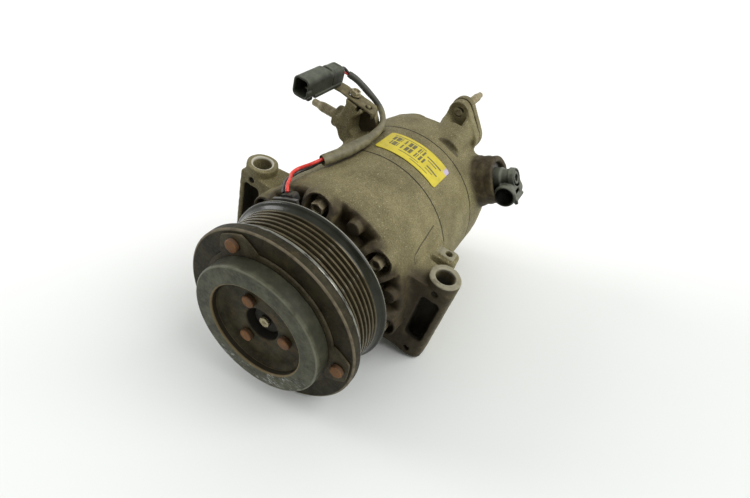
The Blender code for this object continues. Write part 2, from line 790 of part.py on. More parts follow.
def through_bolts(mat):
    """The flanged hexagon bolts that clamp the three castings."""
    bolt = rod("bolt", (0, BOLT_SEAT_Y - 0.0010, 0), (0, BOLT_END_Y, 0), BOLT_R, HOLE_STEPS)
    flange_top = BOLT_SEAT_Y - GAP - BOLT_FLANGE_HEIGHT
    flange_tip = BOLT_FLANGE_R - BOLT_FLANGE_TAPER
    flange = rod("bolt_flange", (0, BOLT_SEAT_Y - GAP, 0), (0, flange_top, 0), BOLT_FLANGE_R, 12, flange_tip)
    head_r = BOLT_HEAD_ACROSS / 2 / cos(pi / 6)
    head_y = flange_top - BOLT_HEAD_HEIGHT
    hexagon = rod("bolt_hexagon", (0, flange_top + BOLT_FLANGE_HEIGHT / 2, 0), (0, head_y, 0), head_r, 6)
    join(bolt, flange, hexagon)
    places = [Matrix.Translation(on_shaft(BOLT_CIRCLE_R, a, 0)) for a in BOLT_ANGLES]
    copies(bolt, numbered("through_bolt", len(BOLT_ANGLES)), places, mat, "housing")


def valve_plate_stack(steel, gasket_mat, rubber):
    """The gasket and valve plate between block and head, and the seal ring at the front seam."""
    front = SEAM_REAR_Y + 2 * GAP
    sheet = ring("head_gasket", HEAD_CHAMBER_R[1], VALVE_PLATE_R, front, front + GASKET_T)
    finish(sheet, gasket_mat, "housing")
    front += GASKET_T + GAP
    plate = ring("valve_plate", VALVE_CENTRE_HOLE_R, VALVE_PLATE_R, front, front + VALVE_PLATE_T)
    for angle in piston_angles():
        ends = [on_shaft(PISTON_CIRCLE_R, angle, y) for y in (front - 0.01, front + 0.01)]
        cut(plate, rod("valve_port", *ends, VALVE_PORT_R, HOLE_STEPS))
    finish(plate, steel, "housing")
    seal_y = SEAM_FRONT_Y - SEAL_RING_WIRE_R
    profile = [
        (seal_y + SEAL_RING_WIRE_R * sin(-a), SEAL_RING_R + SEAL_RING_WIRE_R * cos(a))
        for a in (tau * (i + 0.5) / 5 for i in range(5))
    ]
    finish(turned("block_seal_ring", profile, DISC_STEPS), rubber, "housing")


def coil(coil_mat, rubber):
    """The clutch coil in its steel can, with a mounting plate, and the grommet where its lead enters."""
    inner = BEARING_OUTER_R + GAP + PULLEY_HUB_WALL + COIL_CLEARANCE
    outer = GROOVE_CREST_R - GROOVE_DEPTH - PULLEY_RIM_WALL - COIL_CLEARANCE
    front = PULLEY_FRONT_Y + FRICTION_WALL + COIL_CLEARANCE
    rear = FRONT_FACE_Y - GAP
    can = turned(
        "clutch_coil",
        [
            (rear, COIL_PLATE_R),
            (COIL_PLATE_FRONT_Y, COIL_PLATE_R),
            (COIL_PLATE_FRONT_Y, outer),
            (front, outer),
            (front, inner),
            (COIL_PLATE_FRONT_Y, inner),
            (COIL_PLATE_FRONT_Y, COIL_PLATE_BORE_R),
            (rear, COIL_PLATE_BORE_R),
        ],
        DISC_STEPS,
    )
    low, high = COIL_EAR_ANGLE - COIL_EAR_HALF_ANGLE, COIL_EAR_ANGLE + COIL_EAR_HALF_ANGLE
    root = COIL_PLATE_R - ROOT
    corners = [(root, low), (COIL_EAR_R, low), (COIL_EAR_R, COIL_EAR_ANGLE), (COIL_EAR_R, high), (root, high)]
    ear = [(r * cos(radians(a)), r * sin(radians(a))) for r, a in corners]
    join(can, extruded("coil_ear", [ear], COIL_PLATE_FRONT_Y, rear, "Y"))
    finish(can, coil_mat, "housing")
    section = rounded_section((0.0, COIL_EAR_R - 0.0020), GROMMET_WIDTH / 2, GROMMET_HEIGHT / 2, 0.0020)
    grommet = extruded("coil_grommet", [section], FRONT_FACE_Y, FRONT_FACE_Y + GROMMET_LENGTH, "Y")
    grommet.matrix_world = Matrix.Rotation(-radians(COIL_EAR_ANGLE - 90.0), 4, "Y") @ grommet.matrix_world
    finish(grommet, rubber, "housing")


def pulley(iron, steel):
    """The grooved pulley with the coil's channel in its back, its bearing races and a snap ring."""
    crests = []
    for i in range(GROOVE_COUNT):
        middle = GROOVE_REAR_Y - i * GROOVE_PITCH
        crests += [(middle + GROOVE_PITCH / 2, GROOVE_CREST_R), (middle, GROOVE_CREST_R - GROOVE_DEPTH)]
    last = GROOVE_REAR_Y - (GROOVE_COUNT - 0.5) * GROOVE_PITCH
    bore = BEARING_OUTER_R + GAP
    channel_floor = PULLEY_FRONT_Y + FRICTION_WALL
    rim_inner = GROOVE_CREST_R - GROOVE_DEPTH - PULLEY_RIM_WALL
    hub_rear = BEARING_FRONT_Y + BEARING_WIDTH + SNAP_RING_T + 2 * GAP
    wheel = turned(
        "pulley",
        [
            (PULLEY_REAR_Y, PULLEY_FLANGE_R),
            (0.0, PULLEY_FLANGE_R),
            *crests,
            (last, GROOVE_CREST_R),
            (PULLEY_FRONT_Y + PULLEY_LAND_WIDTH, PULLEY_LAND_R),
            (PULLEY_FRONT_Y + 0.0006, PULLEY_LAND_R),
            (PULLEY_FRONT_Y, PULLEY_LAND_R - 0.0006),
            (PULLEY_FRONT_Y, bore),
            (hub_rear, bore),
            (hub_rear, bore + PULLEY_HUB_WALL),
            (channel_floor, bore + PULLEY_HUB_WALL),
            (channel_floor, rim_inner),
            (PULLEY_REAR_Y, rim_inner),
        ],
        PULLEY_STEPS,
    )
    finish(wheel, iron, "pulley")
    rear = BEARING_FRONT_Y + BEARING_WIDTH
    bore_r = BEARING_BORE_R + GAP
    wall = (BEARING_OUTER_R - bore_r - BALL_SPACE) / 2
    outer = ring("bearing_outer_race", BEARING_OUTER_R - wall, BEARING_OUTER_R, BEARING_FRONT_Y, rear)
    finish(outer, steel, "pulley")
    inner = ring("bearing_inner_race", bore_r, bore_r + wall, BEARING_FRONT_Y, rear)
    finish(inner, steel, "housing")
    outer_r = BEARING_OUTER_R - GAP
    keeper = ring("bearing_snap_ring", outer_r - 0.0024, outer_r, rear + GAP, rear + GAP + SNAP_RING_T)
    finish(keeper, steel, "pulley")


def spring_outline(angle):
    """A point of the spring plate's edge: a round plate that swells into an ear at each rivet."""
    off = min(abs((angle - a + 180.0) % 360.0 - 180.0) for a in RIVET_ANGLES)
    rise = min(1.0, max(0.0, (SPRING_EAR_FOOT - off) / (SPRING_EAR_FOOT - SPRING_EAR_TIP)))
    return on_shaft(SPRING_PLATE_R + (SPRING_EAR_R - SPRING_PLATE_R) * rise, angle, 0).xz


def rivet(head_y, tail_y):
    """A round-headed rivet along the shaft, its head towards the front."""
    tip = head_y - RIVET_HEAD_HEIGHT
    profile = [
        (tail_y, 0.0),
        (tail_y, RIVET_SHANK_R),
        (head_y, RIVET_SHANK_R),
        (head_y, RIVET_HEAD_R),
        (tip + 0.0007, RIVET_HEAD_R),
        (tip, RIVET_HEAD_R * 0.72),
        (tip, 0.0),
    ]
    return turned("rivet", profile, HOLE_STEPS, closed=False)


def clutch(iron, plate_mat, cup_mat, hub_mat, rivet_mat, rubber, bolt_mat):
    """The armature on its spring plate, and the hub with its damper."""
    back = PULLEY_FRONT_Y - AIR_GAP
    face = back - ARMATURE_T
    armature = turned(
        "armature_plate",
        [
            (back, ARMATURE_R),
            (face + ARMATURE_CHAMFER, ARMATURE_R),
            (face, ARMATURE_R - ARMATURE_CHAMFER),
            (face, ARMATURE_BORE_R),
            (back, ARMATURE_BORE_R),
        ],
        PULLEY_STEPS,
    )
    spring_back = face - GAP
    spring_face = spring_back - SPRING_PLATE_T
    spots = [on_shaft(OUTER_RIVET_CIRCLE_R, a, 0) for a in RIVET_ANGLES]
    inner_spots = [on_shaft(INNER_RIVET_CIRCLE_R, a, 0) for a in RIVET_ANGLES]
    outline = [spring_outline(a) for a in range(0, 360, SPRING_OUTLINE_STEP)]
    bore = [on_shaft(SPRING_PLATE_BORE_R, 360.0 * i / RING_STEPS, 0).xz for i in range(RING_STEPS)]
    spring = extruded("spring_plate", [outline, bore], spring_face, spring_back, "Y")
    rivet_hole = RIVET_SHANK_R + GAP
    for spot in spots:
        for obj in (armature, spring):
            ends = [spot + Vector((0, y, 0)) for y in (back + 0.01, spring_face - 0.01)]
            cut(obj, rod("rivet_hole", *ends, rivet_hole, HOLE_STEPS))
    for spot in inner_spots:
        ends = [spot + Vector((0, y, 0)) for y in (back + 0.01, spring_face - 0.01)]
        cut(spring, rod("rivet_hole", *ends, rivet_hole, HOLE_STEPS))
    finish(armature, iron, "armature")
    finish(spring, plate_mat, "armature")
    places = [Matrix.Translation(s) for s in spots]
    tail = face + ARMATURE_T - 0.0012
    copies(rivet(spring_face - GAP, tail), numbered("outer_rivet", 3), places, rivet_mat, "armature")

    hub_back = spring_face - GAP
    hub_floor = HUB_FACE_Y + HUB_RECESS_DEPTH
    shaft_hole = SHAFT_NOSE_R + GAP
    wide = CUP_R - CUP_WALL - GAP
    hub = turned(
        "clutch_hub",
        [
            (HUB_BOSS_END_Y, HUB_BOSS_R),
            (hub_back, HUB_BOSS_R),
            (hub_back, wide),
            (hub_back - HUB_FLANGE_T, wide),
            (hub_back - HUB_FLANGE_T, HUB_DISC_R),
            (HUB_FACE_Y + 0.0010, HUB_DISC_R),
            (HUB_FACE_Y, HUB_DISC_R - 0.0010),
            (HUB_FACE_Y, HUB_RECESS_R),
            (hub_floor, HUB_RECESS_FLOOR_R),
            (hub_floor, shaft_hole),
            (HUB_BOSS_END_Y, shaft_hole),
        ],
        RING_STEPS,
    )
    for spot in inner_spots:
        ends = [spot + Vector((0, y, 0)) for y in (hub_back + 0.01, HUB_FACE_Y - 0.01)]
        cut(hub, rod("hub_rivet_hole", *ends, rivet_hole, HOLE_STEPS))
    finish(hub, hub_mat, "rotor")
    cup = turned(
        "damper_cup",
        [
            (hub_back, CUP_R),
            (CUP_FACE_Y + 0.0008, CUP_R),
            (CUP_FACE_Y, CUP_R - 0.0008),
            (CUP_FACE_Y, CUP_RIM_R + 0.0006),
            (CUP_FACE_Y + 0.0006, CUP_RIM_R),
            (CUP_LIP_Y, CUP_RIM_R),
            (CUP_LIP_Y, CUP_RIM_R + CUP_WALL),
            (CUP_FACE_Y + CUP_WALL, CUP_RIM_R + CUP_WALL),
            (CUP_FACE_Y + CUP_WALL, CUP_R - CUP_WALL),
            (hub_back, CUP_R - CUP_WALL),
        ],
        DISC_STEPS,
    )
    finish(cup, cup_mat, "rotor")
    damper = ring(
        "damper_rubber",
        CUP_RIM_R + CUP_WALL + GAP,
        CUP_R - CUP_WALL - GAP,
        CUP_FACE_Y + CUP_WALL + GAP,
        hub_back - HUB_FLANGE_T - GAP,
        DISC_STEPS,
    )
    finish(damper, rubber, "rotor")
    places = [Matrix.Translation(s) for s in inner_spots]
    copies(rivet(HUB_FACE_Y - GAP, spring_back), numbered("inner_rivet", 3), places, rivet_mat, "rotor")
    seat = hub_floor - GAP
    bolt = rod("hub_bolt", (0, seat, 0), (0, seat - HUB_BOLT_HEAD, 0), HUB_BOLT_ACROSS / 2 / cos(pi / 6), 6)
    tip = seat - HUB_BOLT_HEAD
    join(bolt, rod("bolt_tip", (0, tip + 0.0005, 0), (0, tip - HUB_BOLT_TIP, 0), HUB_BOLT_TIP_R, 12))
    finish(bolt, bolt_mat, "rotor")


def helix(start, end, turn_points):
    """Points along the spring's wire, so many to a turn."""
    count = SPRING_TURNS * turn_points
    return [
        on_shaft(SPRING_COIL_R, 360.0 * i / turn_points, start + (end - start) * i / count)
        for i in range(count + 1)
    ]


def shaft_and_swash(steel, swash_mat, spring_mat):
    """The drive shaft with its lug plate, the swash plate at its least tilt and the spring between them."""
    nose_y = HUB_FACE_Y + HUB_RECESS_DEPTH + GAP
    shaft = turned(
        "drive_shaft",
        [
            (SHAFT_REAR_Y, 0.0),
            (SHAFT_REAR_Y, SHAFT_R),
            (HUB_BOSS_END_Y + GAP, SHAFT_R),
            (HUB_BOSS_END_Y + GAP, SHAFT_NOSE_R),
            (nose_y, SHAFT_NOSE_R),
            (nose_y, 0.0),
        ],
        RING_STEPS,
        closed=False,
    )
    finish(shaft, steel, "rotor")
    front = FRONT_WALL_Y + THRUST_T + 2 * GAP
    rear = front + LUG_PLATE_T
    bore = SHAFT_R + GAP
    plate = ring("lug_plate", bore, LUG_PLATE_R, front, rear)
    arm = SWASH_ARM_WIDTH
    low, high = SWASH_ARM_Z - arm / 2, SWASH_ARM_Z + arm / 2
    for side in (1, -1):
        edge = side * (arm / 2 + GAP)
        far = edge + side * arm * 0.6
        near, wide = sorted((edge, far))
        join(plate, box("hinge_arm", (near, rear - ROOT, low), (wide, SWASH_HUB_Y[0], high)))
    finish(plate, swash_mat, "rotor")
    swash = turned(
        "swash_plate",
        [
            (SWASH_HUB_Y[1], SWASH_HUB_R),
            (SWASH_Y[1], SWASH_HUB_R),
            (SWASH_Y[1], SWASH_R),
            (SWASH_Y[0], SWASH_R),
            (SWASH_Y[0], SWASH_HUB_R),
            (SWASH_HUB_Y[0], SWASH_HUB_R),
            (SWASH_HUB_Y[0], bore),
            (SWASH_HUB_Y[1], bore),
        ],
        RING_STEPS,
    )
    join(swash, box("swash_tongue", (-arm / 2, rear + 0.0040, low), (arm / 2, SWASH_Y[0] + 0.002, high)))
    finish(swash, swash_mat, "rotor")
    start = rear + GAP + SPRING_WIRE_R
    end = SWASH_HUB_Y[0] - GAP - SPRING_WIRE_R
    finish(tube("swash_spring", helix(start, end, SPRING_TURN_POINTS), SPRING_WIRE_R, 1), spring_mat, "rotor")
    points = helix(start, end, SPRING_GAP_POINTS)
    away = SPRING_GAP_POINTS // 2
    nearest = min((a - b).length for i, a in enumerate(points) for b in points[i + away :])
    print(f"swash_spring: least gap to itself {(nearest - 2 * SPRING_WIRE_R) * 1000:.2f} mm")


def pistons(mat):
    """The pistons with the bridges that straddle the swash plate, and their shoes."""
    piston = rod("piston", (0, PISTON_Y[0], 0), (0, PISTON_Y[1], 0), PISTON_R, PISTON_STEPS)
    low, high = (r - PISTON_CIRCLE_R for r in BRIDGE_R)
    half = BRIDGE_HALF_WIDTH
    bridge = box("bridge", (-half, BRIDGE_FRONT_Y, low), (half, PISTON_Y[0] + BRIDGE_ROOT, high))
    slot_y = (SWASH_Y[0] - SLOT_CLEARANCE, SWASH_Y[1] + SLOT_CLEARANCE)
    slot_top = SWASH_R + 2 * GAP - PISTON_CIRCLE_R
    slot = box("slot", (-0.02, slot_y[0], low - 0.01), (0.02, slot_y[1], slot_top))
    shoes = [
        rod("shoe", (0, slot_y[0] - 0.001, 0), (0, SWASH_Y[0] - GAP, 0), SHOE_R, HOLE_STEPS),
        rod("shoe", (0, slot_y[1] + 0.001, 0), (0, SWASH_Y[1] + GAP, 0), SHOE_R, HOLE_STEPS),
    ]
    join(cut(join(piston, bridge), slot), *shoes)
    copies(piston, numbered("piston", PISTON_COUNT), piston_places(), mat, "housing")


def shaft_supports(steel, rubber):
    """The lip seal, two needle bearings and the thrust washer."""
    bore = SHAFT_R + GAP
    finish(ring("shaft_lip_seal", bore, SEAL_SEAT_R - GAP, *SEAL_Y), rubber, "housing")
    for name, span in (("front_needle_bearing", FRONT_NEEDLE_Y), ("rear_needle_bearing", REAR_NEEDLE_Y)):
        finish(ring(name, bore, NEEDLE_SEAT_R - GAP, *span), steel, "housing")
    front = FRONT_WALL_Y + GAP
    finish(ring("thrust_bearing", *THRUST_R, front, front + THRUST_T), steel, "housing")


def control_valve(brass, steel, plastic):
    """The control valve in its bore, its snap ring, and its plug with a socket that faces the front."""
    out = on_shaft(1.0, VALVE_ANGLE, 0.0)
    along = Vector((0, VALVE_Y, 0))
    recess = VALVE_BOSS_TIP - VALVE_RECESS_DEPTH
    ends = [along + out * (reach + GAP) for reach in (VALVE_FLOOR, recess)]
    body = rod("control_valve", *ends, VALVE_BORE_R, 16)
    finish(body, brass, "housing")
    low = recess + 2 * GAP
    snap = rod("valve_snap_ring", along + out * low, along + out * (low + VALVE_RING_T), VALVE_RECESS_R, 16)
    ends = [along + out * (low + side * PAST) for side in (-1, 1)]
    cut(snap, rod("snap_bore", *ends, VALVE_PLUG_R + GAP, 16))
    finish(snap, steel, "housing")
    plug = rod("valve_connector", along + out * low, along + out * VALVE_PLUG_TIP, VALVE_PLUG_R, 16)
    down = on_shaft(1.0, VALVE_ANGLE - 90.0, 0.0)
    heart = along + out * (VALVE_BOSS_TIP + 2 * GAP + VALVE_SOCKET_R) + down * VALVE_SOCKET_DROP
    mouth = heart - Vector((0, VALVE_SOCKET_LENGTH - 0.0060, 0))
    socket = rod("valve_socket", heart + Vector((0, 0.0060, 0)), mouth, VALVE_SOCKET_R, 16)
    hollow = rod(
        "valve_socket_hollow",
        mouth + Vector((0, VALVE_SOCKET_DEPTH, 0)),
        mouth - Vector((0, 0.0100, 0)),
        VALVE_SOCKET_R - VALVE_SOCKET_WALL,
        16,
    )
    cut(join(plug, socket), hollow)
    finish(plug, plastic, "housing")


def bracket_and_stud(steel, stud_mat):
    """The bent sheet bracket on the rear lug, its screw, and the dog-point stud in the lug."""
    under = [(x, bracket_height(x)) for x in (BRACKET_END_X, BRACKET_BEND_X, BRACKET_TIP_X)]
    over = [(x, z + BRACKET_T) for x, z in reversed(under)]
    bracket = extruded("connector_bracket", [under + over], *BRACKET_Y, "Y")
    middle = sum(BRACKET_Y) / 2
    for x, radius in ((BRACKET_SCREW_X, BRACKET_SCREW_R), (BRACKET_PIN_X, BRACKET_PIN_R)):
        z = bracket_height(x)
        hole = rod("bracket_hole", (x, middle, z - 0.005), (x, middle, z + 0.01), radius + 2 * GAP, 10)
        cut(bracket, hole)
    finish(bracket, steel, "housing")
    seat = bracket_height(BRACKET_SCREW_X) + BRACKET_T + 0.0011
    head = seat + BRACKET_SCREW_HEAD
    foot = bracket_height(BRACKET_SCREW_X) - BRACKET_SCREW_LENGTH
    at = (BRACKET_SCREW_X, middle)
    screw = rod("bracket_screw", (*at, foot), (*at, seat + 0.001), BRACKET_SCREW_R, HOLE_STEPS)
    join(screw, rod("screw_head", (*at, seat), (*at, head), BRACKET_SCREW_HEAD_ACROSS / 2 / cos(pi / 6), 6))
    finish(screw, stud_mat, "housing")
    y, z = REAR_LUG_STUD_YZ
    tip, root = LUG_STUD_X
    stud = rod("lug_stud", (root, y, z), (tip + LUG_STUD_POINT, y, z), LUG_STUD_R, 10)
    join(stud, rod("dog_point", (tip + LUG_STUD_POINT + 0.001, y, z), (tip, y, z), LUG_STUD_POINT_R, 10))
    finish(stud, stud_mat, "housing")


def rounded_section(middle, half_width, half_height, corner):
    """The outline of a rounded rectangle."""
    x, z = middle
    return hull(
        [
            (x + sx * (half_width - corner), z + sz * (half_height - corner), corner)
            for sx in (-1, 1)
            for sz in (-1, 1)
        ],
        16,
    )


def coil_connector(plastic):
    """The two-pole connector housing on the bracket: open socket at the front, cap and clip."""
    height = bracket_height(BRACKET_TIP_X) + BRACKET_T + GAP + CONNECTOR_HALF_HEIGHT + CONNECTOR_CAP_EXTRA
    middle = (CONNECTOR_X, height)
    front, rear = CONNECTOR_Y
    body = extruded(
        "connector_housing",
        [rounded_section(middle, CONNECTOR_HALF_WIDTH, CONNECTOR_HALF_HEIGHT, CONNECTOR_CORNER_R)],
        front,
        rear - 0.0010,
        "Y",
    )
    cap = rounded_section(
        middle,
        CONNECTOR_HALF_WIDTH + CONNECTOR_CAP_EXTRA,
        CONNECTOR_HALF_HEIGHT + CONNECTOR_CAP_EXTRA,
        CONNECTOR_CORNER_R,
    )
    wall = CONNECTOR_WALL
    socket = rounded_section(
        middle, CONNECTOR_HALF_WIDTH - wall, CONNECTOR_HALF_HEIGHT - wall, CONNECTOR_CORNER_R - wall
    )
    (half, drop, depth), clip_y = CONNECTOR_CLIP
    low = height - CONNECTOR_HALF_HEIGHT
    clip = box(
        "connector_clip",
        (CONNECTOR_X - half, clip_y, low - drop),
        (CONNECTOR_X + half, clip_y + depth, low + CONNECTOR_WALL),
    )
    join(body, extruded("connector_cap", [cap], CONNECTOR_CAP_Y, rear, "Y"), clip)
    cut(body, extruded("connector_socket", [socket], front - 0.0100, front + CONNECTOR_SOCKET_DEPTH, "Y"))
    return finish(body, plastic, "housing")


def lead(sleeve_mat, red, black):
    """The sleeve from the connector along the body, and the two wires on to the coil."""
    finish(tube("harness_sleeve", smooth_route(SLEEVE_ROUTE, ROUTE_STEP), SLEEVE_R), sleeve_mat, "housing")
    for name, route, mat in (("red_wire", RED_WIRE_ROUTE, red), ("black_wire", BLACK_WIRE_ROUTE, black)):
        finish(tube(name, smooth_route(route, WIRE_STEP), WIRE_R), mat, "housing")


def label(mat):
    """A plain paper label on the upper side of the cylinder block."""
    low, high = LABEL_ANGLES
    outer = BODY_R + GAP + LABEL_T
    profile = [(LABEL_Y[1], outer), (LABEL_Y[0], outer)]
    sheet = turned("label", profile, LABEL_STEPS, False, radians(high - low))
    thick = sheet.modifiers.new("Thickness", "SOLIDIFY")
    thick.thickness = LABEL_T
    thick.offset = -1.0
    turn = Matrix.Rotation(-radians(high), 3, "Y") @ sheet.rotation_euler.to_matrix()
    sheet.rotation_euler = turn.to_euler()
    return finish(sheet, mat, "housing")


def build():
    aluminium = material("cast_aluminium", (0.36, 0.33, 0.25), 0.62, 0.55)
    block_alu = material("block_aluminium", (0.38, 0.35, 0.27), 0.60, 0.55)
    steel = material("bearing_steel", (0.55, 0.55, 0.54), 0.35, 1.0)
    pulley_iron = material("pulley_iron", (0.20, 0.19, 0.17), 0.50, 0.85)
    armature_iron = material("armature_iron", (0.16, 0.14, 0.12), 0.60, 0.80)
    cup_steel = material("cup_steel", (0.25, 0.27, 0.27), 0.45, 0.80)
    hub_steel = material("hub_steel", (0.14, 0.12, 0.10), 0.65, 0.70)
    rust = material("rusty_rivet", (0.30, 0.15, 0.07), 0.80, 0.30)
    bolt_steel = material("bolt_steel", (0.35, 0.32, 0.26), 0.50, 0.90)
    brass = material("brass", (0.55, 0.45, 0.25), 0.40, 0.95)
    zinc = material("zinc_plate", (0.60, 0.55, 0.42), 0.40, 0.95)
    rubber = material("rubber", (0.03, 0.03, 0.03), 0.80, 0.0)
    gasket = material("gasket_sheet", (0.12, 0.12, 0.12), 0.70, 0.0)
    plastic = material("black_plastic", (0.05, 0.06, 0.055), 0.45, 0.0)
    sleeve = material("sleeve_plastic", (0.22, 0.21, 0.17), 0.70, 0.0)
    red = material("red_insulation", (0.75, 0.10, 0.06), 0.45, 0.0)
    black = material("black_insulation", (0.05, 0.05, 0.05), 0.45, 0.0)
    paper = material("yellow_paper", (0.85, 0.72, 0.12), 0.55, 0.0)
    piston_alu = material("piston_aluminium", (0.70, 0.70, 0.68), 0.35, 0.9)

    front_housing(aluminium)
    cylinder_block(block_alu)
    rear_head(aluminium)
    through_bolts(bolt_steel)
    valve_plate_stack(steel, gasket, rubber)
    port_fittings(block_alu, zinc)
    control_valve(brass, steel, plastic)
    coil(steel, rubber)
    pulley(pulley_iron, steel)
    clutch(armature_iron, hub_steel, cup_steel, hub_steel, rust, rubber, brass)
    shaft_and_swash(steel, bolt_steel, steel)
    shaft_supports(steel, rubber)
    pistons(piston_alu)
    bracket_and_stud(hub_steel, zinc)
    coil_connector(plastic)
    lead(sleeve, red, black)
    label(paper)


def resting_roll():
    """How far the body rolls onto its right lug before the lug's lower edge meets the floor."""
    reach, height = LUG_X + LUG_R, LUG_HALF_HEIGHT
    return asin(BODY_R / hypot(reach, height)) - atan2(height, reach)


def lay_on_floor():
    """Hangs every body on one empty, laid as it rests, over the middle of its own footprint."""
    rest = add("rest", None)
    axes = {"housing": rest}
    for body, parent in (("pulley", "housing"), ("rotor", "housing"), ("armature", "rotor")):
        axes[body] = add(f"{body}_axis", None)
        axes[body].parent = axes[parent]
    for obj, body in PARTS.items():
        obj.parent = axes[body]
    for tool in TOOLS:
        tool.parent = rest
    rest.rotation_euler.y = resting_roll()
    bpy.context.view_layer.update()
    graph = bpy.context.evaluated_depsgraph_get()
    corners = []
    for obj in PARTS:
        shape = obj.evaluated_get(graph)
        corners += [obj.matrix_world @ v.co for v in shape.to_mesh().vertices]
        shape.to_mesh_clear()
    low = Vector([min(c[i] for c in corners) for i in range(3)])
    high = Vector([max(c[i] for c in corners) for i in range(3)])
    rest.location = (-(low.x + high.x) / 2, -(low.y + high.y) / 2, -low.z)


def sort_collections():
    """Puts the sub-parts in the object's collection and the cutting tools in another."""
    root = bpy.context.scene.collection
    groups = {"ac_compressor": [*PARTS], "cutting_tools": TOOLS}
    for name, members in groups.items():
        group = bpy.data.collections.new(name)
        root.children.link(group)
        for obj in members:
            group.objects.link(obj)
            root.objects.unlink(obj)


for old in list(bpy.data.objects):
    bpy.data.objects.remove(old)
PARTS = {}
TOOLS = []
build()
lay_on_floor()
sort_collections()
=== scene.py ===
"""Looks of an automotive air-conditioning compressor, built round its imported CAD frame.

Pieces are modelled in millimetres in the shaft frame: Y runs along the shaft from the clutch to the rear,
Z runs along the bolt holes of the mounting lugs, and the origin lies on the shaft, PULLEY_REAR_Y in front of
the pulley's rear end. Castings and mouldings are distance fields made into meshes; turned pieces are outlines
swept round an axis. A blend is the width of a fillet.
"""

import json
from math import asin, atan2, cos, hypot, pi, radians, sin, tau

import bmesh
import bpy
import numpy as np
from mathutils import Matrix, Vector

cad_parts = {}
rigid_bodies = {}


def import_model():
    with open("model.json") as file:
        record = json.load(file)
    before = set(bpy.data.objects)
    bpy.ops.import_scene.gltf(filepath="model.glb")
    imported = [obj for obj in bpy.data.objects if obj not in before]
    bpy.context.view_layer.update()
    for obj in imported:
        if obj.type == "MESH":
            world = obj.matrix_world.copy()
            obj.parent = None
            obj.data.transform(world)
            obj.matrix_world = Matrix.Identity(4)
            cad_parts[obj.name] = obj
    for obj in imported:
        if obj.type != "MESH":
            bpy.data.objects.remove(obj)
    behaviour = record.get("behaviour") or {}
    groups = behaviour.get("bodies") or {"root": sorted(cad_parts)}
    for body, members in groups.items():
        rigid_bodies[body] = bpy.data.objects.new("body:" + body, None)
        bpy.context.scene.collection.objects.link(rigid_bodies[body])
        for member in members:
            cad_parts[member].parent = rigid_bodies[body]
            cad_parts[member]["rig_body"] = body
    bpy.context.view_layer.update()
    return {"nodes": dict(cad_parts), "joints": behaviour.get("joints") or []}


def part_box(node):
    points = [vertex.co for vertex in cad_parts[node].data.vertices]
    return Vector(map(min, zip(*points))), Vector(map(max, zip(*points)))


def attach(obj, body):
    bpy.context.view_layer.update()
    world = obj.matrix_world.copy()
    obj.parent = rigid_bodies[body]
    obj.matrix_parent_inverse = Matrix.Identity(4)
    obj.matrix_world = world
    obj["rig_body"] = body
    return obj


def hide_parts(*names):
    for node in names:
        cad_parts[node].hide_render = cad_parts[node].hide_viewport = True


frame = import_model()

import openvdb
from mathutils import Matrix, Vector

# Sizes that several pieces share, in millimetres and degrees
GAP = 0.3
BODY_R = 60.6
SEAM_FRONT_Y = 80
SEAM_REAR_Y = 127.7
REAR_END_Y = 173
PULLEY_REAR_Y = 3.2
BOLT_CIRCLE_R = 53
BOLT_ANGLES = (101, 47.6, -6, -56.5, -107, -157, 153)
BOLT_SEAT_Y = 20.5
BOLT_HOLE_R = 3.4
RIVET_ANGLES = (123, 3, -117)
LUG_X, LUG_Y, LUG_R, LUG_HALF = 72.3, 39.6, 10.6, 36
DRAIN_X, DRAIN_R = LUG_X - 0.3, 2.1
ROLL = asin(BODY_R / hypot(LUG_X + LUG_R, LUG_HALF)) - atan2(LUG_HALF, LUG_X + LUG_R)
VALVE_ANGLE, VALVE_Y = 37.2, 152
STUD_X, STUD_Z = 8, 71.1
CONNECTOR_X, CONNECTOR_Z = -73.5, 80.38
LUG_STUD_Y, LUG_STUD_Z = 114, 48.5
SCREW_X, SCREW_Y = -55, 114
PIN_X, PIN_Y = -41.5, 113

# Grid steps of the distance fields, and the waviness of a casting's and a sheet's skin
CASTING_STEP, PLATE_STEP, MOULDING_STEP, FINE_STEP, PIN_STEP = 0.7, 0.5, 0.4, 0.35, 0.25
CASTING_WAVE, SHEET_WAVE = 0.14, 0.05
WAVE_COUNT, WAVE_LENGTHS = 10, (6, 16)

# The angle in degrees from which an edge is shaded as a sharp one
SHARP_ANGLE = 38

# Space
axis_x, _, axis_z = next(j["pos_m"] for j in frame["joints"] if j["name"] == "pulley_spin")
ORIGIN = Vector((axis_x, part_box("pulley")[1].y - PULLEY_REAR_Y / 1000, axis_z))
REST = Matrix.Translation(ORIGIN) @ Matrix.Rotation(ROLL, 4, "Y") @ Matrix.Scale(0.001, 4)


def on_shaft(radius, angle, y):
    """A point at a radius and an angle, in degrees from +X towards +Z, round the shaft."""
    return np.array((radius * cos(radians(angle)), y, radius * sin(radians(angle))))


def slot_of(node):
    return frame["nodes"][node].material_slots[0].material.name


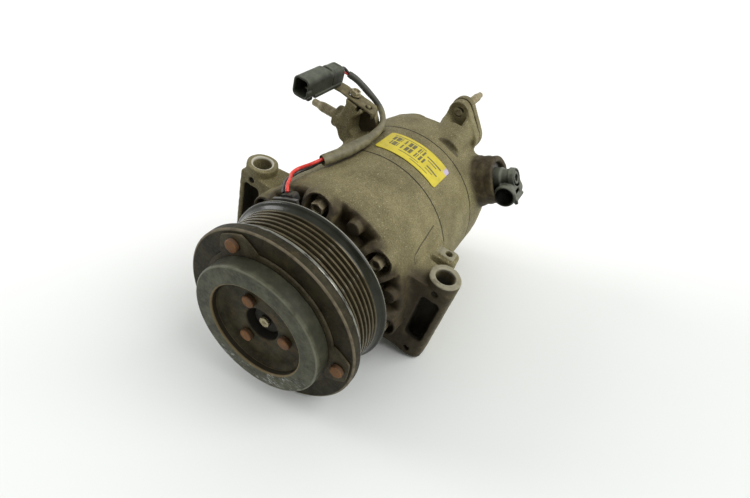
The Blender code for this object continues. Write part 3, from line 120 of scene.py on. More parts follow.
def piece(node, shape, name=None, slot=None, stands_for=True):
    """A mesh in the shaft frame that stands for a CAD node, or rides with it as something added."""
    verts, faces = shape
    mesh = bpy.data.meshes.new(name or f"{node}.fine")
    faces = [tuple(f) for f in np.asarray(faces, dtype=object)]
    mesh.from_pydata(np.asarray(verts, float).tolist(), [], faces)
    mesh.transform(REST)
    bm = bmesh.new()
    bm.from_mesh(mesh)
    bmesh.ops.remove_doubles(bm, verts=bm.verts, dist=1e-7)
    bmesh.ops.recalc_face_normals(bm, faces=bm.faces)
    bm.to_mesh(mesh)
    bm.free()
    mesh.shade_smooth()
    mesh.set_sharp_from_angle(angle=radians(SHARP_ANGLE))
    obj = bpy.data.objects.new(mesh.name, mesh)
    bpy.context.scene.collection.objects.link(obj)
    slot = slot or slot_of(node)
    mesh.materials.append(SKINS[slot])
    obj.modifiers.new("Normals", "WEIGHTED_NORMAL").keep_sharp = True
    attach(obj, frame["nodes"][node]["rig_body"])
    if stands_for:
        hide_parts(node)
    return obj


# Outlines and sweeps


def hull(circles, points=48):
    """The outline round a set of circles (x, y, radius); a radius of zero is a corner."""
    dots = set()
    for x, y, r in circles:
        count = points if r else 1
        dots.update((x + r * cos(tau * i / count), y + r * sin(tau * i / count)) for i in range(count))
    chains = []
    for ordered in (sorted(dots), sorted(dots, reverse=True)):
        chain = []
        for dot in ordered:
            while len(chain) > 1:
                (ax, ay), (bx, by) = chain[-2:]
                if (bx - ax) * (dot[1] - ay) - (by - ay) * (dot[0] - ax) > 1e-9:
                    break
                chain.pop()
            chain.append(dot)
        chains += chain[:-1]
    return chains


def eased(profile, radius, steps=4):
    """A closed outline with its corners rounded; a point's third number is a radius of its own."""
    points = [np.array(p[:2], float) for p in profile]
    done = []
    for i, b in enumerate(points):
        a, c = points[i - 1], points[(i + 1) % len(points)]
        reach = profile[i][2] if len(profile[i]) > 2 else radius
        if b[1] == 0 or reach == 0:
            done.append(b)
            continue
        u, v = a - b, c - b
        cut = min(reach, 0.45 * np.hypot(*u), 0.45 * np.hypot(*v))
        p, q = b + u / np.hypot(*u) * cut, b + v / np.hypot(*v) * cut
        for t in np.linspace(0, 1, steps + 1):
            done.append(p * (1 - t) ** 2 + b * 2 * t * (1 - t) + q * t * t)
    return done


def grid_faces(rows, columns, wrap_rows=True):
    """Quads over a grid of points whose columns close on themselves."""
    last = rows if wrap_rows else rows - 1
    i, j = np.meshgrid(np.arange(last), np.arange(columns), indexing="ij")
    k, n = (i + 1) % rows, (j + 1) % columns
    return np.stack([i * columns + j, k * columns + j, k * columns + n, i * columns + n], -1).reshape(-1, 4)


def turned(profile, steps, flats=None, closed=True):
    """A (y, radius) outline turned about Y; flats are a hexagon's (low y, high y, width across flats)."""
    angles = np.arange(steps) * tau / steps
    rows = []
    for y, r in profile:
        ring = np.full(steps, r) if np.isscalar(r) else np.asarray(r)
        if flats and flats[0] <= y <= flats[1]:
            hexagon = flats[2] / 2 / np.cos((angles + pi / 6) % (pi / 3) - pi / 6)
            ring = np.minimum(ring, hexagon)
        rows.append(np.stack([ring * np.cos(angles), np.full(steps, y), ring * np.sin(angles)], -1))
    return np.concatenate(rows), grid_faces(len(profile), steps, closed)


def placed(shape, origin, direction=(0, 1, 0), turn=0):
    """A shape made along Y, turned about Y and set along a direction from an origin."""
    verts, faces = shape
    matrix = Vector(direction).to_track_quat("Y", "Z").to_matrix() @ Matrix.Rotation(turn, 3, "Y")
    return np.asarray(verts) @ np.array(matrix).T + np.asarray(origin, float), faces


def threaded(radius, pitch, depth, start, end, tail, steps=40):
    """A stud along Y: thread between start and end, and its outline (y, radius) beyond them in tail."""
    angles = np.arange(steps) * tau / steps
    rows = [(0, 0), (0, radius - depth)]
    for y in np.arange(start, end, pitch / 8):
        phase = (y / pitch - angles / tau) % 1
        fade = min(1, (y - start) / pitch, (end - y) / pitch)
        rows.append((y, radius - depth * (1 - fade) - depth * fade * np.abs(2 * phase - 1)))
    return turned([*rows, *tail], steps, closed=False)


def smooth_route(points, step):
    """Points a step apart along a smooth curve through the given points."""
    dots = [np.array(p, float) for p in points]
    ends = [2 * dots[0] - dots[1], *dots, 2 * dots[-1] - dots[-2]]
    route = []
    for a, b, c, d in zip(ends, ends[1:], ends[2:], ends[3:]):
        count = max(1, round(np.linalg.norm(c - b) / step))
        for i in range(count):
            t = i / count
            bend, twist = 2 * a - 5 * b + 4 * c - d, 3 * b - 3 * c + d - a
            route.append(0.5 * (2 * b + (c - a) * t + bend * t * t + twist * t**3))
    return np.array([*route, dots[-1]])


def swept(route, rings, sides=28):
    """A tube: rings are (index along the route, radius), from one closed end to the other."""
    ahead = np.gradient(route, axis=0)
    ahead /= np.linalg.norm(ahead, axis=1)[:, None]
    side = np.cross(ahead[0], (0.3, 0.2, 0.9))
    sides_at = []
    for t in ahead:
        side = side - t * side.dot(t)
        side /= np.linalg.norm(side)
        sides_at.append(side)
    angles = np.arange(sides) * tau / sides
    verts = []
    for i, r in rings:
        up = np.cross(ahead[i], sides_at[i])
        verts.append(route[i] + r * (np.cos(angles)[:, None] * sides_at[i] + np.sin(angles)[:, None] * up))
    faces = [tuple(f) for f in grid_faces(len(rings), sides, wrap_rows=False)]
    faces += [tuple(range(sides)), tuple(range((len(rings) - 1) * sides, len(rings) * sides))]
    return np.concatenate(verts), faces


# Distance fields


def joined(a, b, blend):
    """The nearer of two distances, with a fillet where they meet."""
    if not blend:
        return np.minimum(a, b)
    h = np.clip(0.5 + 0.5 * (b - a) / blend, 0, 1)
    return b + (a - b) * h - blend * h * (1 - h)


def bounded(a, b):
    """The distance to where both a and b are negative."""
    return np.minimum(np.maximum(a, b), 0) + np.hypot(np.maximum(a, 0), np.maximum(b, 0))


def outline_distance(outline, u, v):
    """The distance in a plane to a closed outline, negative inside."""
    near = np.float32(1e9)
    inside = np.zeros(np.broadcast(u, v).shape, bool)
    for (ax, ay), (bx, by) in zip(outline, [*outline[1:], outline[0]]):
        ex, ey = bx - ax, by - ay
        if ex == ey == 0:
            continue
        wx, wy = u - ax, v - ay
        t = np.clip((wx * ex + wy * ey) / (ex * ex + ey * ey), 0, 1)
        near = np.minimum(near, (wx - ex * t) ** 2 + (wy - ey * t) ** 2)
        if ay != by:
            inside ^= ((ay > v) != (by > v)) & (u < ex * (v - ay) / ey + ax)
    return np.where(inside, -1, 1).astype(np.float32) * np.sqrt(near)


class Field:
    """Distances to a solid's surface on a grid of points, negative inside."""

    def __init__(self, low, high, step):
        self.low, self.step = np.array(low, float), step
        axes = [np.arange(a, b + step, step, dtype=np.float32) for a, b in zip(low, high)]
        self.x, self.y, self.z = np.ix_(*axes)
        self.d = np.full([len(a) for a in axes], 1e3, np.float32)

    def near(self, low, high):
        """The part of the field in a box; what is added there or cut there is so in this field too."""
        part = object.__new__(Field)
        spans = []
        for a, b, axis in zip(low, high, (self.x, self.y, self.z)):
            at = np.flatnonzero((axis.ravel() >= a) & (axis.ravel() <= b))
            spans.append(slice(at[0], at[-1] + 1))
        part.x, part.y, part.z = self.x[spans[0]], self.y[:, spans[1]], self.z[:, :, spans[2]]
        part.d = self.d[tuple(spans)]
        return part

    def around(self, points, reach):
        points = np.array(points, float)
        return self.near(points.min(0) - reach, points.max(0) + reach)

    def add(self, shape, blend=0):
        self.d[...] = joined(self.d, shape, blend)

    def cut(self, shape, blend=0):
        self.d[...] = -joined(-self.d, shape, blend)

    def revolve(self, profile):
        """A closed (y, radius) outline turned about Y."""
        r = np.hypot(self.x, self.z)[:, 0, :]
        rs = np.arange(0, r.max() + 1, 0.2)
        table = outline_distance(profile, self.y.ravel()[:, None], rs[None, :])
        return np.stack([np.interp(r, rs, row) for row in table], axis=1).astype(np.float32)

    def prism(self, outline, low, high, along="y"):
        """A flat outline with thickness. Its points are (x, z) along y, (x, y) along z and (y, z) along x."""
        u, v, w = {
            "y": (self.x, self.z, self.y),
            "z": (self.x, self.y, self.z),
            "x": (self.y, self.z, self.x),
        }[along]
        return bounded(outline_distance(outline, u, v), np.maximum(low - w, w - high))

    def rod(self, start, end, radius, tip=None):
        """A round rod between two points; tip is its radius at the far end."""
        start, end = np.array(start, float), np.array(end, float)
        length = np.linalg.norm(end - start)
        ax, ay, az = (end - start) / length
        px, py, pz = self.x - start[0], self.y - start[1], self.z - start[2]
        along = px * ax + py * ay + pz * az
        off = np.sqrt(np.maximum(px * px + py * py + pz * pz - along * along, 0))
        girth = radius if tip is None else radius + (tip - radius) * np.clip(along / length, 0, 1)
        return bounded(off - girth, np.maximum(-along, along - length))

    def box(self, low, high, corner=0):
        """A box between two corners, with rounded edges."""
        mid, half = (np.array(low) + np.array(high)) / 2, (np.array(high) - np.array(low)) / 2 - corner
        q = [np.abs(a - m) - h for a, m, h in zip((self.x, self.y, self.z), mid, half)]
        out = np.sqrt(sum(np.maximum(a, 0) ** 2 for a in q))
        return out + np.minimum(np.maximum(np.maximum(q[0], q[1]), q[2]), 0) - corner

    def mesh(self, uneven=0):
        """The surface as quads. uneven gives the waviness of a casting's skin."""
        d = self.d.copy()
        for axis in (0, 1, 2):
            d = (np.roll(d, 1, axis) + 2 * d + np.roll(d, -1, axis)) / 4
        if uneven:
            chance = np.random.default_rng(5)
            for _ in range(WAVE_COUNT):
                wave = chance.normal(size=3)
                wave *= tau / chance.uniform(*WAVE_LENGTHS) / np.linalg.norm(wave)
                phase = self.x * wave[0] + self.y * wave[1] + self.z * wave[2] + chance.uniform(0, tau)
                d += (uneven / 4 * np.sin(phase)).astype(np.float32)
        grid = openvdb.FloatGrid()
        grid.copyFromArray(np.ascontiguousarray(np.clip(d, -3 * self.step, 3 * self.step)))
        points, quads = grid.convertToQuads(isovalue=0.0)
        return self.low + points * self.step, quads


def crisp_seam(shape, y, radius, reach=0.9):
    """Draws the points along a casting's seam onto its corner, so that the joint line stays fine."""
    verts, faces = shape
    r = np.hypot(verts[:, 0], verts[:, 2])
    at = (np.abs(verts[:, 1] - y) < reach) & (np.abs(r - radius) < reach)
    scale = radius / r[at]
    verts[at, 0] *= scale
    verts[at, 2] *= scale
    verts[at, 1] = y
    return verts, faces


# Control valve

VALVE_OUT = on_shaft(1, VALVE_ANGLE, 0)
VALVE_DOWN = on_shaft(1, VALVE_ANGLE - 90, 0)


def outward(distance):
    """A point on the control valve's axis, so far from the shaft."""
    return np.array((0, VALVE_Y, 0)) + VALVE_OUT * distance


PLUG_HEART = outward(83.4) + VALVE_DOWN * 8.5

# Materials

SKINS = {}
BLACK = (0, 0, 0)


def arithmetic(operation):
    """A method of a value that works out an operation on it and another."""
    return lambda value, other=0.5: value.skin.math(operation, value, other)


class Value:
    """A number that a material's nodes work out; arithmetic on it adds nodes, and | is the greater of two."""

    __mul__, __add__, __sub__ = arithmetic("MULTIPLY"), arithmetic("ADD"), arithmetic("SUBTRACT")
    __gt__, __lt__, __or__ = arithmetic("GREATER_THAN"), arithmetic("LESS_THAN"), arithmetic("MAXIMUM")
    __abs__ = arithmetic("ABSOLUTE")

    def __init__(self, skin, socket):
        self.skin, self.socket = skin, socket

    def __rsub__(self, other):
        return self.skin.math("SUBTRACT", other, self)

    def __neg__(self):
        return self * -1

    def plus(self, other):
        """The sum of two masks, at most 1."""
        return self.skin.math("ADD", self, other, True)

    def span(self, low, high, out_low=0, out_high=1):
        """This value between low and high carried smoothly to another span."""
        inputs = {0: self, 1: low, 2: high, 3: out_low, 4: out_high}
        made = self.skin.node("MapRange", inputs, interpolation_type="SMOOTHSTEP", clamp=True)
        return Value(self.skin, made.outputs[0])


class Skin:
    """A node material in the shaft frame's millimetres, whose colour is painted in layers."""

    def __init__(self, slot):
        self.mat = bpy.data.materials.new(f"{slot}.skin")
        self.mat.use_nodes = True
        self.tree = self.mat.node_tree
        self.shader = self.tree.nodes["Principled BSDF"]
        coords = self.node("TexCoord", {})
        to_shaft = {"Location": ORIGIN, "Rotation": (0, ROLL, 0), "Scale": (0.001, 0.001, 0.001)}
        place = self.node("Mapping", {"Vector": coords.outputs["Object"], **to_shaft}, vector_type="TEXTURE")
        self.place = place.outputs["Vector"]
        self.normal = coords.outputs["Normal"]
        self.x, self.y, self.z = self.parts(self.place)
        self.colour = BLACK
        SKINS[slot] = self.mat

    def link(self, value, socket):
        """Sets a socket by a link, a number or a colour."""
        value = value.socket if isinstance(value, Value) else value
        if isinstance(value, bpy.types.NodeSocket):
            self.tree.links.new(value, socket)
        elif socket.type == "RGBA":
            socket.default_value = (*value, 1)
        else:
            socket.default_value = value

    def node(self, kind, inputs, **settings):
        made = self.tree.nodes.new("ShaderNode" + kind)
        for key, value in settings.items():
            setattr(made, key, value)
        for key, value in inputs.items():
            self.link(value, made.inputs[key])
        return made

    def math(self, operation, a, b=0.5, clamp=False):
        return Value(self, self.node("Math", {0: a, 1: b}, operation=operation, use_clamp=clamp).outputs[0])

    def parts(self, vector):
        return [Value(self, socket) for socket in self.node("SeparateXYZ", {0: vector}).outputs]

    def length(self, a, b):
        return self.math("SQRT", a * a + b * b)

    def radius(self):
        return self.length(self.x, self.z)

    def angle(self):
        """Radians round the shaft, from +X towards +Z."""
        return self.math("ARCTAN2", self.z, self.x)

    def up(self):
        """How far the surface faces up when the part is at rest, from -1 to 1."""
        return self.parts(self.normal)[2]

    def front(self):
        """How far the surface faces the clutch's end, from -1 to 1."""
        return -self.parts(self.normal)[1]

    def edge(self):
        return Value(self, self.node("NewGeometry", {}).outputs["Pointiness"])

    def cavity(self, reach, own=False):
        """How hidden a point is, 0 in the open and 1 deep in a corner."""
        made = self.node("AmbientOcclusion", {"Distance": reach / 1000}, samples=8, only_local=own)
        return 1 - Value(self, made.outputs["AO"])

    def noise(self, size, detail=4, rough=0.55, stretch=(1, 1, 1), shift=0):
        """Smooth noise from 0 to 1 whose features are about so many millimetres across."""
        where = self.place
        if stretch != (1, 1, 1) or shift:
            moved = {"Vector": where, "Scale": stretch, "Location": (shift, shift, shift)}
            where = self.node("Mapping", moved).outputs[0]
        inputs = {"Vector": where, "Scale": 1 / size, "Detail": detail, "Roughness": rough}
        return Value(self, self.node("TexNoise", inputs).outputs["Fac"])

    def rough(self, size, low, high, detail=4):
        return self.noise(size, detail).span(0.2, 0.8, low, high)

    def stroke(self, points, width):
        """1 along a line of points (y, degrees round the shaft) on the body's skin, 0 beyond its width."""
        arc = self.angle() * BODY_R
        near = 1e3
        for (ya, aa), (yb, ab) in zip(points, points[1:]):
            ey, ea = yb - ya, radians(ab - aa) * BODY_R
            u, v = self.y - ya, arc - radians(aa) * BODY_R
            t = self.math("DIVIDE", u * ey + v * ea, ey * ey + ea * ea, True)
            near = self.math("MINIMUM", near, self.length(u - t * ey, v - t * ea))
        return near.span(width, width * 0.4)

    def mix(self, mask, a, b):
        return self.node("Mix", {0: mask, 6: a, 7: b}, data_type="RGBA").outputs[2]

    def paint(self, mask, colour):
        """Lays a colour over what is painted so far."""
        self.colour = self.mix(mask, self.colour, colour)

    def tone(self, size, detail, rough, low, high, spread=0.2):
        """Starts the colour as a mottle between two; gives the mottle's mask."""
        mask = self.noise(size, detail, rough).span(0.5 - spread, 0.5 + spread)
        self.colour = self.mix(mask, low, high)
        return mask

    def set(self, **values):
        """Gives the shader the painted colour, and its sockets, named with underscores."""
        for key, value in {"base_color": self.colour, **values}.items():
            self.link(value, self.shader.inputs[key.replace("_", " ").title().replace("Ior", "IOR")])

    def bump(self, *layers):
        """Layers are (height from 0 to 1, millimetres)."""
        below = {}
        for height, amount in layers:
            made = self.node("Bump", {"Height": height, "Distance": amount / 1000, "Strength": 1, **below})
            below = {"Normal": made.outputs[0]}
        self.link(below["Normal"], self.shader.inputs["Normal"])


# Cast aluminium, in layers

CAST_DARK, CAST_LIGHT = (0.155, 0.131, 0.058), (0.255, 0.222, 0.106)
SEAM_LINES_Y = (SEAM_FRONT_Y + GAP / 2, SEAM_REAR_Y + GAP / 2)
PARTING = ((71, 41.1), (48.3, 38.1), (41.6, 36.3), (39, 34.4), (39.3, 31.2))
NOTCH = ((136.6, 80), (136.6, 72), (137.4, 64))


def cast_metal(s):
    """Mottled metal, warmer on top, with a blasted grain and worn edges; gives the grain and the edges."""
    s.tone(22, 6, 0.6, CAST_DARK, CAST_LIGHT)
    warm = s.up().span(0.55, 1) * s.noise(12, 5, shift=70).span(0.2, 0.7, 0.4, 1)
    s.paint(warm * 0.4, (0.125, 0.104, 0.05))
    grain = s.noise(0.8, 3, 0.75)
    s.colour = s.mix(grain.span(0.34, 0.62), s.mix(0.52, BLACK, s.colour), s.colour)
    s.paint(s.noise(0.9, 2, 0.5, shift=37).span(0.62, 0.71, 0, 0.48), (0.46, 0.42, 0.27))
    edge = s.edge().span(0.53, 0.6) * s.noise(5).span(0.3, 0.6)
    s.paint(edge * 0.6, (0.4, 0.37, 0.26))
    return grain, edge


def off_tab_root(s):
    """Low where the small tab grows out of the body, which stays free of dirt and painted shade."""
    root = s.x.span(42, 46) * s.y.span(54, 57) * s.z.span(20, 24)
    return root.span(0, 1, 1, 0.15)


def low_right(s):
    return s.angle().span(0.66, 0.46) * s.y.span(46, 30)


def patches(s):
    return s.noise(11, 5, 0.6, shift=11).span(0.25, 0.62, 0.72, 1)


def cast_dirt_and_shade(s, shade_and_dirt):
    """Brown dirt with painted shade: darker in hollows, on faces turned to the clutch's end, round the bolts
    and on the boss.
    """
    hollow = off_tab_root(s) * s.cavity(12).span(0.35, 0.95, 0, 0.75)
    front = s.front().span(0.25, 0.85) * s.x.span(-20, 45, 0.3, 1) * s.y.span(60, 55)
    bolts = s.y.span(28, 17) * s.radius().span(62.5, 59, 0.35, 0.85)
    boss = s.radius().span(61.5, 65) * s.y.span(128, 132) * s.x.span(30, 40)
    bolts = bolts | low_right(s) * s.x.span(20, 40) | boss
    brown = s.mix(s.noise(4).span(0.3, 0.7), (0.023, 0.0158, 0.006), (0.062, 0.045, 0.02))
    # Dirt and painted shade laid on together, in patches
    s.paint(hollow.plus(front).plus(bolts) * patches(s) * shade_and_dirt, brown)


def cast_painted_shade(s):
    """Painted shade on post ends, in the rear lug's nook, drain holes, a notch and creases; shade with dirt
    on the right lug.
    """
    shaded = s.front().span(0.4, 0.8)
    # Painted shade on the posts' front ends and in the rear lug's nook
    post = shaded * s.y.span(16.6, 15.4) * s.radius().span(44, 46)
    nook = s.y.span(112, 115) * s.y.span(123, 122) * s.x.span(-25, -28)
    nook = nook * shaded * s.radius().span(60.8, 61.4)
    s.paint(post.plus(nook) * 0.86, (0.026, 0.019, 0.009))
    # Painted shade round and in the lugs' drain holes
    upper = abs(s.z - s.x.span(-40, 40, 25.6, 27.6))
    nearer = s.math("MINIMUM", upper, abs(s.z + 30.7))
    drain = s.length(nearer, abs(s.x) - DRAIN_X).span(DRAIN_R + 0.4, DRAIN_R) * s.y.span(36, 34)
    s.paint(drain * 0.9, (0.012, 0.01, 0.005))
    # The right lug's front and the low right side darker: dirt with painted shade
    lug_face = shaded * s.x.span(50, 57) * s.y.span(37, 33)
    dirt_and_painted_shade = lug_face * 0.72 | low_right(s) * s.x.span(20, 40, 0, 0.5)
    s.paint(dirt_and_painted_shade * patches(s), (0.034, 0.025, 0.012))
    # A painted shade line along the notch at the swell's front
    s.paint(s.stroke(NOTCH, 2) * 0.62, (0.034, 0.026, 0.013))
    # Painted shade in fine creases, less where the tab grows out of the body
    s.paint(off_tab_root(s) * s.cavity(1.8).span(0.2, 0.5, 0, 0.75), (0.03, 0.022, 0.011))


def cast_faces(s):
    """Machined flats on the tab and the lugs' rings, a painted highlight round the rings' mouths, and painted
    shade in the window pits and bores; gives the flats.
    """
    tab = s.z.span(29.7, 30) * s.x.span(56, 57.5) * s.y.span(61, 61.8) * s.y.span(71.6, 71)
    ring_top = s.z.span(34.9, 35.5) * abs(s.x).span(60.5, 61.2) * s.y.span(62, 58)
    flat = tab.plus(ring_top) * s.noise(4, 5, shift=91).span(0.25, 0.6, 0.35, 0.9)
    s.paint(flat, (0.275, 0.258, 0.18))
    aside = abs(s.x) - LUG_X
    from_bore = s.length(aside, s.y - LUG_Y)
    # A painted highlight round the mouths of the lugs' rings, brighter on the left
    mouth = from_bore.span(7.9, 7.2) * s.z.span(33, 34.6)
    s.paint(mouth * s.x.span(40, -40, 0.15, 0.8), (0.5, 0.48, 0.4))
    # Painted shade in the lugs' window pits and down their bores
    pit = (abs(aside) - 6.9).span(0.4, -0.2) * abs(s.z).span(21.2, 20.6)
    pit = pit * s.y.span(29.6, 31) * s.y.span(48, 47)
    bored = from_bore.span(7.1, 6.7) * (s.z - s.x.span(-40, 40, -8, 0)).span(33.5, 26)
    s.paint(pit.plus(bored) * 0.94, (0.017, 0.0145, 0.008))
    return flat


def cast_aluminium(slot, shade_and_dirt):
    """Shot-blasted aluminium under road dust and painted shade, with dark seams; only the front casting has a
    parting line, painted as a line of shade.
    """
    s = Skin(slot)
    grain, edge = cast_metal(s)
    cast_dirt_and_shade(s, shade_and_dirt)
    cast_painted_shade(s)
    flat = cast_faces(s)
    # The parting line: painted shade along the step of the pad's edge
    if slot == "cast_aluminium":
        s.paint(s.stroke(PARTING, 0.55) * 0.75, (0.022, 0.017, 0.009))
    for seam in SEAM_LINES_Y:
        line = abs(s.y - seam).span(0.7, 0.4, 0, 0.94)
        s.paint(line * s.radius().span(62.5, 61.8), (0.014, 0.01, 0.006))
    s.set(roughness=s.rough(3, 0.58, 0.82), metallic=edge.plus(flat) * 0.4, specular_ior_level=0.3)
    s.bump((grain, 0.2), (s.noise(3.2, 3), 0.22))


# Iron and steel


def pulley_iron():
    """Black paint gone thin, brown rust in the grooves with painted shade at their bottoms, bright where the
    pulley rubs.
    """
    s = Skin("pulley_iron")
    s.tone(16, 6, 0.6, (0.008, 0.0082, 0.0042), (0.018, 0.0185, 0.0105))
    band = s.y.span(-2.6, -3.4) * s.y.span(-24.9, -24.3)
    around = s.noise(7, 6, 0.65, stretch=(0.6, 3, 0.6))
    rust = s.mix(s.noise(2), (0.052, 0.04, 0.018), (0.118, 0.098, 0.056))
    s.paint(band * around.span(0.3, 0.62, 0.45, 1), rust)
    # Painted shade in the bottoms of the grooves
    crest = s.radius().span(53.2, 55.3)
    s.paint(band * (1 - crest), (0.01, 0.007, 0.004))
    rubbed = s.edge().span(0.55, 0.63) * s.noise(4, 5).span(0.3, 0.6, 0.35, 1)
    land = s.y.span(-24.9, -25.3) * s.noise(6, 5, stretch=(1, 4, 1)).span(0.3, 0.6)
    rim = s.radius().span(58.5, 58.9) * s.y.span(PULLEY_REAR_Y - 1.6, PULLEY_REAR_Y - 0.9)
    worn = rubbed * 0.8 | land * 0.6 | rim * around.span(0.25, 0.6, 0.55, 0.95)
    s.paint(worn, (0.34, 0.335, 0.28))
    metal = worn * 0.8 | band * crest * 0.55
    s.set(roughness=s.rough(3, 0.15, 0.27), metallic=metal, specular_ior_level=0.26)
    s.bump((s.noise(2.4, 2), 0.008), (s.noise(9, 3), 0.02))


def brown_iron(slot, low, high):
    """The start of a skin of iron gone brown, tan along its edges, with painted shade in its hollows."""
    s = Skin(slot)
    s.tone(11, 7, 0.65, low, high, 0.18)
    s.paint(s.noise(6, 5, 0.7, shift=21).span(0.52, 0.72, 0, 0.7), (0.058, 0.04, 0.017))
    rubbed = s.noise(2.2, 5, 0.7, stretch=(1, 1, 0.4), shift=44)
    s.paint(rubbed.span(0.6, 0.75, 0, 0.35), (0.085, 0.075, 0.055))
    edge = s.edge().span(0.53, 0.61) * s.noise(3).span(0.3, 0.6, 0.35, 1)
    s.paint(edge * 0.7, (0.155, 0.122, 0.08))
    # Painted shade in hollows
    s.paint(s.cavity(5).span(0.35, 0.9, 0, 0.9), (0.008, 0.006, 0.004))
    return s


def finish_iron(s):
    """Pale dust on what lies far back, such as the bracket, and the surface."""
    dust = s.mix(s.noise(5, 6, 0.7).span(0.3, 0.7), (0.08, 0.064, 0.032), (0.185, 0.158, 0.086))
    s.paint(s.y.span(60, 80) * s.z.span(64, 66, 0.25, 0.9), dust)
    s.set(roughness=s.rough(2, 0.46, 0.7), metallic=0.1, specular_ior_level=0.16)
    s.bump((s.noise(0.7), 0.06), (s.noise(4), 0.1))


def armature_iron():
    """Brown iron with a worn rim, and painted shade at its back by the slit to the pulley."""
    s = brown_iron("armature_iron", (0.012, 0.0098, 0.004), (0.033, 0.028, 0.013))
    rim = s.radius().span(59, 59.6) * s.y.span(-33, -33.6)
    s.paint(rim * s.noise(5).span(0.25, 0.6, 0.4, 0.95), (0.165, 0.138, 0.092))
    # Painted shade in the slit between the armature and the pulley
    s.paint(s.y.span(-29.2, -28.5, 0, 0.95), (0.005, 0.004, 0.003))
    finish_iron(s)


def hub_steel():
    """Brown iron, stained round the rivets, with painted shade in the hub's recess."""
    s = brown_iron("hub_steel", (0.018, 0.0155, 0.0072), (0.053, 0.047, 0.024))
    stain = s.noise(7, 5, 0.7, shift=83).span(0.48, 0.66)
    s.paint(s.radius().span(31, 20, 0, 0.55) * stain, (0.085, 0.05, 0.018))
    # Painted shade deep in the hub's recess
    sunk = s.radius().span(12.6, 11.9) * s.y.span(-40, -39)
    s.paint(sunk * 0.95, (0.006, 0.005, 0.003))
    finish_iron(s)


def cup_steel():
    """Green-grey paint over steel, chipped white low on the cup's face, with a painted highlight on the
    face's outer corner, and a brassy inner rim with painted shade inside it.
    """
    s = Skin("cup_steel")
    s.tone(9, 6, 0.6, (0.029, 0.03, 0.017), (0.086, 0.088, 0.056))
    face = s.y.span(-46.4, -47)
    place = (s.x * 0.35 - s.z).span(20, 38) * s.noise(9, 3, 0.6, shift=17).span(0.46, 0.6)
    chips = s.noise(2.6, 5, 0.78, stretch=(0.5, 1, 1.5)).span(0.54, 0.6) * face * place
    fine = s.noise(1, 3, 0.8, stretch=(0.25, 1, 2.2), shift=5)
    s.paint(fine.span(0.62, 0.72, 0, 0.4) * face, (0.145, 0.155, 0.13))
    s.paint(chips, (0.52, 0.54, 0.52))
    s.paint(s.noise(4, 6, 0.7, shift=60).span(0.42, 0.7, 0, 0.6), (0.086, 0.078, 0.05))
    dull = s.noise(2.4, 5, 0.75, shift=28).span(0.5, 0.66, 0, 0.55)
    s.paint(face * dull, (0.024, 0.025, 0.016))
    wall = s.y.span(-45.8, -44) * s.noise(6, 5).span(0.2, 0.7, 0.4, 0.9)
    s.paint(wall, (0.026, 0.026, 0.017))
    s.paint(s.edge().span(0.54, 0.62) * s.noise(3).span(0.3, 0.6, 0.3, 0.8), (0.17, 0.17, 0.13))
    # A painted highlight along the outer corner of the cup's face
    corner = s.radius().span(43.3, 43.8) * s.y.span(-46.2, -46.7)
    s.paint(corner * s.noise(7).span(0.25, 0.6, 0.1, 0.6), (0.17, 0.17, 0.125))
    rim = s.radius().span(33.5, 32.8)
    s.paint(rim * 0.7, (0.19, 0.14, 0.066))
    # Painted shade inside the cup, beyond its brassy rim
    s.paint(rim * s.y.span(-46.5, -45.6), (0.026, 0.021, 0.013))
    s.set(roughness=s.rough(2, 0.38, 0.6), metallic=chips * 0.4 + 0.08, specular_ior_level=0.2)
    s.bump((s.noise(0.7), 0.04), (1 - chips, 0.06))


def rusty_rivet():
    s = Skin("rusty_rivet")
    rust = s.tone(2.2, 6, 0.7, (0.09, 0.038, 0.011), (0.21, 0.094, 0.028))
    s.paint(s.noise(1, shift=9).span(0.6, 0.75, 0, 0.6), (0.055, 0.03, 0.016))
    s.paint(s.edge().span(0.55, 0.66, 0, 0.5), (0.3, 0.18, 0.1))
    # Painted shade on the sides of the rivet heads
    s.paint(s.front().span(0.75, 0.25, 0, 0.7), (0.04, 0.021, 0.009))
    s.set(roughness=rust.span(0, 1, 0.62, 0.9), metallic=0.1)
    s.bump((s.noise(0.6, 5, 0.7), 0.12), (s.noise(2, 3), 0.1))


def bolt_steel():
    """Dull plated steel, brown and darker in its hollows and on faces turned to the clutch's end: dirt with
    painted shade.
    """
    s = Skin("bolt_steel")
    s.tone(4, 6, 0.65, (0.115, 0.09, 0.048), (0.245, 0.205, 0.125))
    s.paint(s.edge().span(0.54, 0.64, 0, 0.7), (0.38, 0.33, 0.23))
    # Dirt with painted shade in hollows and on faces turned to the clutch's end
    s.paint(s.cavity(5).span(0.4, 0.95, 0, 0.7), (0.03, 0.022, 0.011))
    s.paint(s.front().span(0.6, 0.9, 0, 0.72), (0.036, 0.027, 0.014))
    s.set(roughness=s.rough(1.5, 0.4, 0.65), metallic=0.25)
    s.bump((s.noise(0.6), 0.05))


def machined(slot, low, high, rough):
    """Turned metal, with painted shade in its hollows and far back in the head, and dark on the coil's
    flange.
    """
    s = Skin(slot)
    s.tone(7, 5, 0.55, low, high)
    # Painted shade in hollows and far back inside the head
    s.paint(s.cavity(3).span(0.4, 0.9, 0, 0.8), (0.05, 0.04, 0.03))
    s.paint(s.y.span(136, 140, 0, 0.9), (0.03, 0.024, 0.014))
    flange = s.radius().span(49, 51) * s.y.span(10, 8)
    s.paint(flange * 0.94, (0.036, 0.034, 0.026))
    lathe = s.noise(1.2, 3, 0.6, stretch=(0.05, 4, 0.05))
    metal = flange.span(0, 1, 0.95, 0.05)
    s.set(roughness=lathe.span(0.2, 0.8, rough - 0.08, rough + 0.14), metallic=metal)
    s.bump((lathe, 0.02))


